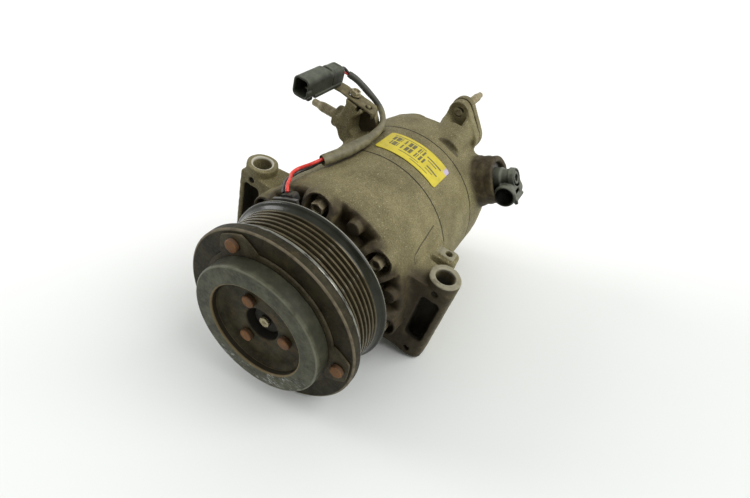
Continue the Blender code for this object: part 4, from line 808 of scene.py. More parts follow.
def plated(slot, low, high, rough):
    """Brass or zinc with rusty spots and painted shade in its hollows; painted shade makes the washer deep in
    the clutch's hub black.
    """
    s = Skin(slot)
    s.tone(3.5, 6, 0.65, low, high)
    s.paint(s.noise(4, 5, 0.7, shift=13).span(0.6, 0.74, 0, 0.6), (0.2, 0.105, 0.045))
    # Painted shade in hollows
    s.paint(s.cavity(2.5).span(0.35, 0.9, 0, 0.8), (0.06, 0.045, 0.025))
    # Painted shade on the washer and bolt end deep in the hub
    deep = s.y.span(-30, -31) * (s.radius().span(3.2, 3.8) | s.y.span(-37.2, -36.4))
    s.paint(deep * 0.97, (0.006, 0.005, 0.003))
    rough = s.rough(1, rough - 0.06, rough + 0.2) + deep * 0.3
    s.set(roughness=rough, metallic=deep.span(0, 1, 0.5, 0), specular_ior_level=0.3)
    s.bump((s.noise(0.6), 0.03))


# Rubber, plastic and paper


def elastic(slot, low, high):
    """Rubber or gasket sheet, dusty on top."""
    s = Skin(slot)
    s.tone(5, 5, 0.55, low, high)
    s.paint(s.up().span(0.2, 1) * s.noise(2).span(0.35, 0.7, 0, 0.6), (0.095, 0.085, 0.06))
    s.set(roughness=s.rough(1.5, 0.66, 0.88, 3), specular_ior_level=0.2)
    s.bump((s.noise(0.5, 3), 0.04))


def black_plastic():
    """Moulded plastic, dusty where it faces up and most on the valve's plug, with painted shade in its
    hollows and the plug's mouth.
    """
    s = Skin("black_plastic")
    s.tone(8, 5, 0.55, (0.014, 0.016, 0.01), (0.034, 0.037, 0.026))
    dust = s.up().span(-0.1, 0.9) * s.noise(5, 6, 0.65).span(0.25, 0.7, 0.25, 0.9)
    s.paint(dust * 0.72, (0.118, 0.128, 0.09))
    s.paint(s.edge().span(0.55, 0.66, 0, 0.35), (0.15, 0.165, 0.135))
    # Painted shade in hollows
    s.paint(s.cavity(7, True).span(0.32, 0.62, 0, 0.97), (0.003, 0.003, 0.002))
    plug = s.y.span(120, 125)
    s.paint(dust * 0.75 * plug, (0.165, 0.172, 0.135))
    # Painted shade in the valve plug's mouth
    from_heart = s.length(s.x - float(PLUG_HEART[0]), s.z - float(PLUG_HEART[2]))
    s.paint(from_heart.span(7.2, 6.7) * plug * 0.96, (0.004, 0.004, 0.003))
    s.set(roughness=s.rough(1.6, 0.34, 0.56), specular_ior_level=0.25)
    s.bump((s.noise(0.45, 2), 0.025))


def sleeve_plastic():
    """Grey-olive dust over black plastic, blacker towards the connector."""
    s = Skin("sleeve_plastic")
    s.tone(4, 6, 0.65, (0.088, 0.078, 0.036), (0.175, 0.156, 0.082))
    black = s.z.span(62, 67, 0, 0.9).plus(s.noise(9, 5).span(0.55, 0.75, 0, 0.3))
    s.paint(black, (0.03, 0.032, 0.026))
    lines = s.noise(1.4, 4, 0.7, stretch=(1, 0.35, 1))
    s.paint(lines.span(0.58, 0.72, 0, 0.45), (0.055, 0.05, 0.036))
    s.set(roughness=s.rough(2, 0.42, 0.7))
    s.bump((lines, 0.06), (s.noise(0.6, 3), 0.03))


def insulation(slot, low, high):
    """The skin of a wire, a little dusty on top."""
    s = Skin(slot)
    s.tone(3, 5, 0.55, low, high)
    s.paint(s.up().span(0.2, 1) * s.noise(1.8).span(0.5, 0.75, 0, 0.25), (0.4, 0.33, 0.26))
    s.set(roughness=s.rough(1, 0.28, 0.46, 3))
    s.bump((s.noise(0.5, 2), 0.02))


# The label's print, as shares of its width and height: u from, u to, v from, v to
PRINT_ROWS = ((0.1, 0.6, 0.6, 0.82), (0.12, 0.66, 0.33, 0.55))
PRINT_LINES = (
    (0.08, 0.58, 0.87, 0.9), (0.64, 0.9, 0.68, 0.74), (0.68, 0.84, 0.58, 0.62), (0.72, 0.92, 0.36, 0.42),
    (0.72, 0.86, 0.26, 0.29), (0.3, 0.62, 0.22, 0.25), (0.5, 0.8, 0.13, 0.16),
)
PRINT_COLUMNS = 84
BARE_SHARE = 0.36


def yellow_paper():
    """Yellow paper with plain printed bars and lines, and a violet smudge."""
    s = Skin("yellow_paper")
    u, v, _ = s.parts(s.node("UVMap", {}, uv_map="Print").outputs[0])
    s.tone(9, 5, 0.55, (0.48, 0.39, 0.014), (0.57, 0.47, 0.02))

    def area(u0, u1, v0, v1):
        return (u > u0) * (u < u1) * (v > v0) * (v < v1)

    column = s.math("FLOOR", u * PRINT_COLUMNS)
    chance = s.node("TexWhiteNoise", {1: column}, noise_dimensions="1D").outputs["Value"]
    bar = Value(s, chance) > BARE_SHARE
    ink = bar * area(*PRINT_ROWS[0]) | bar * area(*PRINT_ROWS[1])
    for line in PRINT_LINES:
        ink = ink | area(*line)
    s.paint(ink * s.noise(1.2).span(0.2, 0.55, 0.55, 0.95), (0.055, 0.05, 0.026))
    s.paint(u.span(0.9, 0.95) * v.span(0.72, 0.82) * 0.8, (0.42, 0.36, 0.66))
    s.paint(s.noise(5, 6, 0.7, shift=3).span(0.5, 0.75, 0, 0.4), (0.24, 0.19, 0.05))
    s.set(roughness=s.rough(2, 0.35, 0.55, 3))
    s.bump((s.noise(3, 3), 0.05))


cast_aluminium("cast_aluminium", 1)
cast_aluminium("block_aluminium", 0.8)
pulley_iron()
armature_iron()
hub_steel()
cup_steel()
rusty_rivet()
bolt_steel()
machined("bearing_steel", (0.34, 0.33, 0.31), (0.5, 0.49, 0.47), 0.3)
machined("piston_aluminium", (0.52, 0.52, 0.5), (0.68, 0.68, 0.66), 0.32)
plated("brass", (0.25, 0.215, 0.125), (0.44, 0.39, 0.245), 0.34)
plated("zinc_plate", (0.2, 0.165, 0.092), (0.4, 0.355, 0.235), 0.5)
elastic("rubber", (0.01, 0.01, 0.01), (0.028, 0.027, 0.025))
elastic("gasket_sheet", (0.03, 0.03, 0.031), (0.06, 0.06, 0.058))
black_plastic()
sleeve_plastic()
insulation("red_insulation", (0.5, 0.022, 0.014), (0.72, 0.05, 0.034))
insulation("black_insulation", (0.012, 0.012, 0.012), (0.034, 0.033, 0.03))
yellow_paper()

# Front casting; what differs from lug to lug is given for the right one (1) and the left one (-1)

FRONT_PROFILE = (
    (SEAM_FRONT_Y, BODY_R), (21, BODY_R), (16, 58.6), (10.5, 53.5), (6.6, 46), (6.6, 17.2),
    (-25, 17.2), (-25, 12.4), (-15.2, 12.4), (-15.2, 9), (14.7, 9), (14.7, 13.4),
    (30, 13.4), (30, 47), (78.1, 47), (78.1, 49.1), (SEAM_FRONT_Y, 49.1),
)
ARM_TOP = {1: 30.5, -1: 28.6}
RING_TOP = {1: 36, -1: 35}
CORNER_R = {1: 4.6, -1: 1.8}
DRAIN_Z = {1: (-30.8, 27.6), -1: (-30.5, 25.6)}
LUG_BORE_R = 6.35
LUG_FRONT_Y = LUG_Y - LUG_R
ARM_INSET, ARM_ROOT_X, ARM_BACK_Y = 0.4, 44, 55
WINDOW_X, WINDOW_Z, WINDOW_CORNER, WINDOW_DEPTH = (65.6, 78.4), (-18.6, 20.8), 3, 12.5
PAD_EDGE = ((77, 41), (48.5, 38), (43.5, 36.6), (40.8, 33.6), (40, 29.5), (40, -8), (77, -8))
PAD_RISE, PAD_ROOT_R = 0.9, 50
TAB_PLAN = ((66.4, 67.4, 5.2), (66.4, 64.2, 5.2), (57, 66, 7.4))
TAB_FLAT = ((58.2, 60.6), (58, 69.4), (68.4, 71.2), (69.4, 62))
TAB_HOLE_X, TAB_HOLE_Y, TAB_HOLE_R = 64.2, 66.2, 2.4
RECESS_HALF_ANGLE, RECESS_FLOOR_Y, RECESS_SLOPE, RECESS_INNER_R = 13, 18.6, 0.3, 43.5
POST_Y, POST_R = (14.6, 29), (4.8, 5.6)
POCKET_Y, POCKET_R = (-8, BOLT_SEAT_Y), 8
RIM_Y, RIM_R, LOW_RIM_R, LOW_RIM_ANGLE = (14.5, 28), 9.9, 9.3, -50


def bolt_line(angle, levels):
    """Points at some levels of y, as far out as the bolts."""
    return [on_shaft(BOLT_CIRCLE_R, angle, y) for y in levels]


def bolt_hole(f, angle, low, high):
    ends = bolt_line(angle, (low, high))
    spot = f.around(ends, 6)
    spot.cut(spot.rod(*ends, BOLT_HOLE_R))


def lug_arms(f):
    """A flat arm and the tube for a long bolt, on either side."""
    for side in (1, -1):
        root_y = LUG_FRONT_Y + ARM_INSET
        ease = CORNER_R[side]
        corner = (side * (LUG_X + LUG_R - ARM_INSET - ease), root_y + ease, ease)
        root = [(side * ARM_ROOT_X, y, 0) for y in (root_y, ARM_BACK_Y)]
        plan = hull([(side * LUG_X, LUG_Y, LUG_R - ARM_INSET), corner, *root])
        arm = f.around([(side * 20, 20, 0), (side * 86, 75, 0)], (0.1, 0.1, 63.1))
        arm.add(arm.prism(plan, ARM_INSET - LUG_HALF, ARM_TOP[side], "z"), 3)
        tube = f.around([(side * LUG_X, LUG_Y, 0)], (20, 20, 45))
        ends = [(side * LUG_X, LUG_Y, z) for z in (-LUG_HALF, RING_TOP[side])]
        tube.add(tube.rod(*ends, LUG_R), 0.9)


def raised_pad(f):
    """A low pad on the right of the body, inside its parting line."""
    pad = f.near((20, 36, -15), (66, 80.5, 52))
    radius = np.hypot(pad.x, pad.z)
    angle = np.degrees(np.arctan2(pad.z, pad.x))
    arc = np.radians(1) * BODY_R
    outline = [(y, a * arc) for y, a in PAD_EDGE]
    edge = outline_distance(outline, np.broadcast_to(pad.y, pad.d.shape), angle * arc)
    pad.add(np.maximum(np.maximum(edge, radius - (BODY_R + PAD_RISE)), PAD_ROOT_R - radius))


def small_tab(f):
    tab = f.near((45, 54, 0), (75, 80.5, 36))
    tab.add(tab.prism(hull(TAB_PLAN), 8, 29.2, "z"), 6)
    tab.add(tab.prism(TAB_FLAT, 20, 30.5, "z"), 0.3)
    tab.cut(tab.rod(*[(TAB_HOLE_X, TAB_HOLE_Y, z) for z in (18, 40)], TAB_HOLE_R), 0.4)


def posts(f):
    """A scooped recess half way between neighbouring bolts, with a cast post in it."""
    ordered = sorted(BOLT_ANGLES)
    for a, b in zip(ordered, [*ordered[1:], ordered[0] + 360]):
        angle = (a + b) / 2
        spot = f.around(bolt_line(angle, (POCKET_Y[0], POST_Y[1])), 16)
        radius = np.hypot(spot.x, spot.z)
        turn = (np.degrees(np.arctan2(spot.z, spot.x)) - angle + 180) % 360 - 180
        flank = (np.abs(turn) - RECESS_HALF_ANGLE) * np.radians(1) * radius
        floor = (spot.y - RECESS_FLOOR_Y - (BODY_R - radius) * RECESS_SLOPE) * 0.95
        spot.cut(np.maximum(np.maximum(flank, floor), RECESS_INNER_R - radius), 4)
        spot.add(spot.rod(*bolt_line(angle, POST_Y), *POST_R), 1.6)


def bolt_pockets(f):
    """A rimmed pocket for each bolt's head; the rims near the floor are thinner."""
    for angle in BOLT_ANGLES:
        ends = bolt_line(angle, POCKET_Y)
        spot = f.around(ends, 13)
        rim_r = RIM_R if angle > LOW_RIM_ANGLE else LOW_RIM_R
        spot.add(spot.rod(*bolt_line(angle, RIM_Y), rim_r), 1.6)
        spot.cut(spot.rod(*ends, POCKET_R), 0.7)
        bolt_hole(f, angle, 14, 90)


def lug_openings(f):
    """A window in each lug's front, its long bore, and two small drain holes."""
    (x0, x1), (z0, z1), corner = WINDOW_X, WINDOW_Z, WINDOW_CORNER
    middles = [(x, z) for x in (x0 + corner, x1 - corner) for z in (z0 + corner, z1 - corner)]
    for side in (1, -1):
        lug = f.around([(side * LUG_X, LUG_Y, 0)], (14, 20, 42))
        window = hull([(side * x, z, corner) for x, z in middles])
        lug.cut(lug.prism(window, LUG_FRONT_Y - 20, LUG_FRONT_Y + WINDOW_DEPTH), 0.8)
        lug.cut(lug.rod(*[(side * LUG_X, LUG_Y, z) for z in (-50, 50)], LUG_BORE_R), 0.6)
        for z in DRAIN_Z[side]:
            ends = [(side * DRAIN_X, LUG_FRONT_Y + y, z) for y in (-12, 5)]
            lug.cut(lug.rod(*ends, DRAIN_R), 0.4)


def front_housing():
    f = Field((-86, -27, -63), (86, 82, 63), CASTING_STEP)
    f.add(f.revolve(FRONT_PROFILE))
    for feature in (lug_arms, raised_pad, small_tab, posts, bolt_pockets, lug_openings):
        feature(f)
    piece("front_housing", crisp_seam(f.mesh(CASTING_WAVE), SEAM_FRONT_Y, BODY_R))


# Middle casting

REAR_LUG = (
    (-58, 69), (-56.6, 65), (-58.8, 57), (-62, 48), (-59.6, 43.2), (-55, 36), (-43, 32),
    (-31, 50.5), (-37, 60), (-40, 66.2),
)
REAR_LUG_POCKETS = (
    ((-48.2, 62.8), (-48.6, 66.6), (-45.2, 66.2), (-45.6, 64)),
    ((-48.6, 57.4), (-48.4, 47.6), (-44.5, 44.4), (-26, 50), (-26, 67), (-42.6, 67), (-43, 64)),
)
BORE_COUNT, BORE_CIRCLE_R, BORE_R, BORE_START = 7, 34.5, 12.7, 75.5


def rear_lug(f):
    """The hollow lug that carries the connector's bracket, a stud in a boss, and a pin."""
    lug = f.near((-70, 98, 20), (-15, 129.5, 74))
    lug.add(lug.prism(REAR_LUG, 106, 124), 2.6)
    lug.add(lug.rod(*[(x, LUG_STUD_Y, LUG_STUD_Z) for x in (-65.5, -48)], 8.5), 2.5)
    for pocket in REAR_LUG_POCKETS:
        lug.cut(lug.prism(pocket, 92, 118), 1.2)
    lug.add(lug.rod((PIN_X, PIN_Y, 64.2), (PIN_X, PIN_Y, 69.6), 1.9), 0.3)
    lug.cut(lug.rod(*[(x, LUG_STUD_Y, LUG_STUD_Z) for x in (-100, -52.7)], 4.1))
    lug.cut(lug.rod((SCREW_X, SCREW_Y, 57), (SCREW_X, SCREW_Y, 80), 3.3))


def cylinder_block():
    f = Field((-70, 78.5, -63), (63, 129.5, 74), CASTING_STEP)
    front = SEAM_FRONT_Y + GAP
    f.add(f.revolve([(front, BODY_R), (SEAM_REAR_Y, BODY_R), (SEAM_REAR_Y, 13.4), (front, 13.4)]))
    rear_lug(f)
    for i in range(BORE_COUNT):
        ends = [on_shaft(BORE_CIRCLE_R, 360 / BORE_COUNT * i + BORE_START, y) for y in (70, 140)]
        spot = f.around(ends, 15)
        spot.cut(spot.rod(*ends, BORE_R))
    for angle in BOLT_ANGLES:
        bolt_hole(f, angle, 70, 140)
    shape = crisp_seam(f.mesh(CASTING_WAVE), front, BODY_R)
    piece("cylinder_block", crisp_seam(shape, SEAM_REAR_Y, BODY_R))


# Rear casting; ports and shoulders are (x, z, radius), the valley's corners (radius, angle)

HEAD_FRONT_Y = SEAM_REAR_Y + GAP
HEAD_PROFILE = (
    (REAR_END_Y, 0), (REAR_END_Y, 51), (169.5, 55.8), (164.5, 58.6), (150, BODY_R),
    (HEAD_FRONT_Y, BODY_R), (HEAD_FRONT_Y, 49.6), (132.5, 49.6), (132.5, 46), (156, 46),
    (156, 22), (132.5, 22), (132.5, 0),
)
VALLEY = ((55.2, 107.5), (72, 109), (72, 88), (55.2, 88))
PORT_SHOULDER = (18.5, 53.5, 12.2)
PORTS = ((8, 33, 8.5), (16.5, 48.5, 6.2))
STUD_HOLE_R = 3.6
PAD_FRONT_Y = REAR_END_Y - 8.4
CUT_END_Y = 190


def on_stud(*levels):
    """Points on the port stud's axis."""
    return [(STUD_X, y, STUD_Z) for y in levels]


def rear_head():
    """A rounded end, a thin port tongue with a dished front, and the control valve's boss."""
    f = Field((-63, 126, -63), (80, 175, 86), CASTING_STEP)
    f.add(f.revolve(HEAD_PROFILE))
    valley = f.near((-25, 150, 45), (10, 175, 66))
    valley.cut(valley.prism([on_shaft(r, a, 0)[[0, 2]] for r, a in VALLEY], 158, CUT_END_Y), 2)
    pad = hull([(STUD_X, STUD_Z, 8.5), PORT_SHOULDER, (6, 44, 7)])
    f.add(f.prism(pad, PAD_FRONT_Y, REAR_END_Y), 4)
    swell = f.near((-12, 136, 36), (44, 173, 80))
    swell.add(swell.rod((16.5, 139.4, 51), (12, 167.5, 58.2), 11.4, 14.2), 2.6)
    f.add(f.rod(outward(46), outward(64), 20.4, 19.4), 6)
    f.add(f.rod(outward(50), outward(70.5), 18.6), 1.2)
    f.add(f.rod(outward(50), outward(77), 17.8), 0.8)
    tongue = f.near((-5, 155, 45), (40, 172, 86))
    dish = hull([(STUD_X, STUD_Z, 6.2), (12.2, 65.4, 4.6)])
    tongue.cut(tongue.prism(dish, 150, PAD_FRONT_Y + 1.7), 3)
    tongue.add(tongue.rod(*on_stud(PAD_FRONT_Y + 0.4, 170), 3.5, 4.2), 0.9)
    tongue.cut(tongue.rod(*on_stud(160, PAD_FRONT_Y + 1.3), 1.4), 0.4)
    f.cut(f.rod(outward(72), outward(100), 13.3), 0.8)
    f.cut(f.rod(outward(30), outward(100), 11.8))
    f.cut(f.rod(*on_stud(PAD_FRONT_Y + 1.5, CUT_END_Y), STUD_HOLE_R))
    for x, z, r in PORTS:
        f.cut(f.rod((x, REAR_END_Y - 12, z), (x, CUT_END_Y, z), r), 0.5)
    piece("rear_head", crisp_seam(f.mesh(CASTING_WAVE), HEAD_FRONT_Y, BODY_R))


# Clutch and pulley; outlines are (y, radius) with a corner's own rounding where it has one, and a rivet's
# place is its distance from the shaft, the y of its head and the y of its tail

GROOVE_COUNT, GROOVE_PITCH, GROOVE_FIRST_Y = 6, 3.56, -4.9
GROOVE_SHAPE = ((1.12, 55.7), (0.22, 53), (-0.22, 53), (-1.12, 55.7))
GROOVES = [(GROOVE_FIRST_Y - GROOVE_PITCH * i + y, r) for i in range(GROOVE_COUNT) for y, r in GROOVE_SHAPE]
PULLEY_PROFILE = (
    (PULLEY_REAR_Y, 47.2), (PULLEY_REAR_Y, 59.3, 1.2), (0.9, 59.3, 1.2), (-0.3, 57.4, 0.8),
    (-2.6, 55.9, 0.8), *GROOVES, (-24.9, 57, 0.5), (-25.4, 59.2, 0.5), (-27.6, 59.2, 0.9),
    (-27.6, 27.8), (-1.3, 27.8), (-1.3, 33), (-22.5, 33), (-22.5, 47.2),
)
ARMATURE_PROFILE = ((-28.2, 60.6, 0.4), (-33.5, 60.6, 0.7), (-34.2, 59.7, 0.7), (-34.2, 30), (-28.2, 30))
CUP_PROFILE = (
    (-36.3, 44.7), (-46.3, 44.7, 1.1), (-47.2, 43.7, 1.1), (-47.2, 32.9, 0.5), (-46.6, 32.3, 0.4),
    (-41, 32.3), (-41, 34.6), (-45, 34.6), (-45, 42.5), (-36.3, 42.5),
)
HUB_ROOT_Y, HUB_ROOT_R, HUB_STEP_Y, HUB_STEP_R = -40, 31.9, 3.4, 3.9
HUB_FILLET = [
    (HUB_ROOT_Y - HUB_STEP_Y * (1 - sin(a)), HUB_ROOT_R - HUB_STEP_R * (1 - cos(a)), 0)
    for a in np.linspace(0, pi / 2, 9)
]
HUB_PROFILE = (
    (-26.2, 14), (-36.3, 14), (-36.3, 42.2), (-37.3, 42.2), (-37.3, HUB_ROOT_R), *HUB_FILLET,
    (HUB_ROOT_Y, 11.8, 1), (-34, 9.6, 0.5), (-34, 6.8), (-26.2, 6.8),
)
HUB_BOLT_PROFILE = (
    (-34.3, 0), (-34.3, 9), (-35.1, 9), (-35.4, 4), (-37.5, 4, 0.1), (-38.1, 3.3, 0.3),
    (-38.1, 1.5, 0.2), (-37.2, 1, 0.2), (-37.2, 0),
)
HUB_BOLT_FLATS = (-38.2, -35.3, 6.6)
SPRING_R, EAR_REACH, EAR_HALF_ANGLE, EAR_SLOPE = 47.5, 10.9, 18.5, 11
EAR_TIP, EAR_ROOT = 0.88, 0.12
RIVET_HEAD, RIVET_R, RIVET_HEAD_R = 2.9, 2.4, 4.2
OUTER_RIVET, INNER_RIVET = (51.8, -36.3, -29.4), (18.1, -40.3, -34.5)


def spring_radius(angles):
    """The spring plate's edge: round, with an ear at each rivet that is eased at its tip and root."""
    off = np.min([np.abs((angles - a + 180) % 360 - 180) for a in RIVET_ANGLES], axis=0)
    t = np.clip((EAR_HALF_ANGLE - off) / EAR_SLOPE, 0, 1)
    t = np.where(t > EAR_TIP, t - (t - EAR_TIP) ** 2 * 3, t)
    return SPRING_R + EAR_REACH * np.where(t > EAR_ROOT, t, t * t / EAR_ROOT)


def spring_plate(steps=360):
    edge = spring_radius(np.arange(steps) * 360 / steps)
    rim = [(-34.5, edge), (-35.7, edge), (-35.9, edge - 0.1), (-36, edge - 0.35)]
    piece("spring_plate", turned([(-34.5, 15), *rim, (-36, 15)], steps))


def rivet(node, angle, radius, head_y, tail_y):
    tip = head_y - RIVET_HEAD
    shank = [(tail_y, 0), (tail_y, RIVET_R), (head_y, RIVET_R)]
    head = [(head_y, RIVET_HEAD_R, 0.3), (tip, RIVET_HEAD_R, 1.1), (tip - 0.05, 0)]
    piece(node, placed(turned(eased(shank + head, 0.2), 48), on_shaft(radius, angle, 0)))


def clutch():
    piece("pulley", turned(eased(PULLEY_PROFILE, 0.28, 3), 180))
    piece("armature_plate", turned(eased(ARMATURE_PROFILE, 0.4), 180))
    spring_plate()
    piece("damper_cup", turned(eased(CUP_PROFILE, 0.4, 6), 160))
    piece("clutch_hub", turned(eased(HUB_PROFILE, 0.3), 128))
    for i, angle in enumerate(RIVET_ANGLES):
        rivet(f"outer_rivet_{i + 1}", angle, *OUTER_RIVET)
        rivet(f"inner_rivet_{i + 1}", angle, *INNER_RIVET)
    piece("hub_bolt", turned(eased(HUB_BOLT_PROFILE, 0.15), 72, HUB_BOLT_FLATS))


# Fasteners

LUG_STUD_TIP = ((27.4, 3.5), (29.6, 2.8), (34.3, 2.7), (35, 2.1), (35, 0))
PORT_STUD_TIP = ((38.9, 2.9), (41, 2.5), (44.6, 2.4), (45.2, 1.7), (45.2, 0))


def hexagon_bolt(seat, across, height, flange_r, flange_t, shank_r, end):
    """A flanged hexagon bolt with a dished head, along Y: seat is the underside of its flange."""
    low = seat - flange_t
    top = low - height
    corner = across / 2 / cos(pi / 6)
    profile = [
        (end, 0), (end, shank_r), (seat, shank_r), (seat, flange_r), (seat - 0.6, flange_r),
        (low, across * 0.62), (low, corner), (top + 0.7, corner), (top, across * 0.46), (top, across * 0.36),
        (top + 1.6, across * 0.3), (top + 1.6, 0),
    ]
    return turned(eased(profile, 0.22, 2), 72, (top - 0.01, low - 0.005, across))


def fasteners():
    bolt = hexagon_bolt(BOLT_SEAT_Y - GAP, across=8, height=7, flange_r=6, flange_t=1.6, shank_r=3, end=139.5)
    for i, angle in enumerate(BOLT_ANGLES):
        piece(f"through_bolt_{i + 1}", placed(bolt, on_shaft(BOLT_CIRCLE_R, angle, 0), turn=0.35 * i))
    stud = threaded(radius=3.9, pitch=1.25, depth=0.38, start=3, end=27, tail=LUG_STUD_TIP)
    piece("lug_stud", placed(stud, (-53, LUG_STUD_Y, LUG_STUD_Z), (-1, 0, 0)))
    stud = threaded(radius=3.3, pitch=1, depth=0.4, start=14, end=38.5, tail=PORT_STUD_TIP)
    piece("port_stud", placed(stud, on_stud(PAD_FRONT_Y + 1.9)[0]))


# Control valve's plug and the port plate

VALVE_SEAT = 72.6
PLUG_LENGTH = 18


def snap_ring():
    ring = [(VALVE_SEAT, 9.1), (VALVE_SEAT + 1.4, 9.1), (VALVE_SEAT + 1.4, 13), (VALVE_SEAT, 13)]
    piece("valve_snap_ring", placed(turned(eased(ring, 0.3), 72), outward(0), VALVE_OUT))


def valve_plug():
    """A stepped cap along the valve's axis, a socket along Y below it, and a hook on the socket."""
    heart = PLUG_HEART
    corners = [outward(70), outward(92), heart, heart + (0, 10, 0), heart - (0, PLUG_LENGTH, 0)]
    f = Field(np.min(corners, 0) - 13, np.max(corners, 0) + 13, MOULDING_STEP)
    f.add(f.rod(outward(VALVE_SEAT), outward(80), 8.8))
    f.add(f.rod(outward(78), outward(87), 7.2), 1.2)
    f.add(f.rod(outward(85.6), outward(90), 8.2, 7.4), 0.5)
    f.add(f.rod(heart + (0, 6, 0), heart - (0, 15, 0), 7.8), 0.8)
    f.add(f.rod(heart - (0, 11, 0), heart - (0, 14, 0), 8.4), 0.3)
    f.cut(f.rod(heart + (0, 3, 0), heart - (0, 30, 0), 6.5), 0.4)
    f.cut(f.rod(outward(86), outward(100), 2.6), 0.6)
    outer, inner = (f.rod(outward(88.9), outward(100), r) for r in (6.2, 4.8))
    f.cut(np.maximum(outer, -inner), 0.3)
    hook = heart + VALVE_OUT * 6.6 + VALVE_DOWN * 5
    f.add(f.rod(hook + (0, 4, 0), hook - (0, 12, 0), 1.7), 0.5)
    f.add(f.rod(hook - (0, 10, 0), hook - (0, 10, 0) + VALVE_DOWN * 3.4, 1.5), 0.5)
    slot = heart + VALVE_OUT * 8.6
    f.cut(f.rod(slot - (0, 2, 0), slot - (0, 9, 0), 2.2), 0.5)
    piece("valve_connector", f.mesh())


def port_plate():
    f = Field((-8, 171, 18), (36, 182, 88), PLATE_STEP)
    low = REAR_END_Y + GAP
    outline = hull([(STUD_X, STUD_Z, 9.2), PORT_SHOULDER, (*PORTS[0][:2], 13)])
    f.add(f.prism(outline, low, low + 5.8))
    for x, z, r in ((STUD_X, STUD_Z, STUD_HOLE_R), *PORTS):
        f.cut(f.rod((x, 160, z), (x, CUT_END_Y, z), r), 0.6)
    piece("port_plate", f.mesh(SHEET_WAVE))


# Bracket and connector

BRACKET_T = 1.6
BRACKET_PLAN = ((-79, 109.5, 2.5), (-79, 117.5, 2.5), (-37.5, 110.5, 2.5), (-37.5, 115.5, 2.5))
BRACKET_BEND_X = -64
LUG_TOP = ((-59, 69.2), (-34.5, 65.4))
SCREW_LEAN = Vector((0.153, 0, 0.988)).normalized()


def bracket_height(x):
    """The underside of the connector bracket: it follows the lug's sloping top, then runs level."""
    (x0, z0), (x1, z1) = LUG_TOP
    return z0 + GAP + (z1 - z0) / (x1 - x0) * (max(x, BRACKET_BEND_X) - x0)


def bracket():
    f = Field((-84, 105, 58), (-31, 123, 75), FINE_STEP)
    under = [(x, bracket_height(x)) for x in (-33, BRACKET_BEND_X, -81.5)]
    over = [(x, z + BRACKET_T) for x, z in reversed(under)]
    sheet = f.prism(under + over, 107, 121)
    f.add(np.maximum(sheet, outline_distance(hull(BRACKET_PLAN), f.x, f.y)))
    f.add(f.box((-36.2, 108.4, 62.8), (-34.7, 113.4, bracket_height(-36) + BRACKET_T), 0.5), 0.8)
    for x, y, r in ((SCREW_X, SCREW_Y, 3.6), (PIN_X, PIN_Y, 2.5)):
        f.cut(f.rod((x, y, 50), (x, y, 90), r), 0.4)
    piece("connector_bracket", f.mesh(SHEET_WAVE))
    screw = hexagon_bolt(0, across=6.6, height=2.6, flange_r=3.9, flange_t=0.8, shank_r=3, end=11.8)
    seat = bracket_height(SCREW_X) + BRACKET_T + 0.7
    piece("bracket_screw", placed(screw, (SCREW_X, SCREW_Y, seat), -SCREW_LEAN))


def section(half_width, half_height, corner, rise=0):
    """A rounded rectangle across the connector."""
    x, z = CONNECTOR_X, CONNECTOR_Z + rise
    w, h = half_width - corner, half_height - corner
    return hull([(x + sx * w, z + sz * h, corner) for sx in (-1, 1) for sz in (-1, 1)])


def connector():
    """A hollow plug body, a cap behind it with a window, a clip foot, a rail and a side groove."""
    x, z = CONNECTOR_X, CONNECTOR_Z
    f = Field((x - 11, 69, z - 15), (x + 11, 119, z + 12), MOULDING_STEP)
    f.add(f.prism(section(6.4, 7.2, 3.6), 71.5, 100))
    f.add(f.prism(section(5.6, 6.4, 3.4), 98, 104))
    f.add(f.prism(section(6.4, 6.4, 3.2, -1.2), 100.6, 114.5), 0.4)
    f.add(f.prism(section(4, 2.4, 1.6, 3.6), 101, 113.5), 0.5)
    f.cut(f.box((x - 9, 97.6, z + 5.2), (x + 9, 100.8, z + 12), 0.6), 0.5)
    f.add(f.box((x - 3.2, 78.5, z - 11.4), (x + 3.2, 83.5, z - 6), 0.7), 0.6)
    f.add(f.box((x + 4.6, 80, z - 7.4), (x + 7.2, 112, z - 4.8), 0.7), 0.5)
    f.cut(f.prism(section(4.9, 5.7, 2.4), 60, 88.5), 0.4)
    f.cut(f.prism([(x + 8, z + 3.4), (x + 5.4, z), (x + 8, z - 3.4)], 60, 76), 0.5)
    f.cut(f.box((x - 3, 103.5, z + 5.4), (x + 3, 112, z + 11), 0.6), 0.5)
    piece("connector_housing", f.mesh())
    for i, rise in enumerate((-2.3, 2.3)):
        mid = z + rise
        pin = Field((x - 3, 73, mid - 2), (x + 3, 93, mid + 2), PIN_STEP)
        pin.add(pin.box((x - 0.8, 78, mid - 0.5), (x + 0.8, 92, mid + 0.5), 0.25))
        piece("connector_housing", pin.mesh(), f"connector_pin_{i + 1}", "zinc_plate", stands_for=False)


# Lead

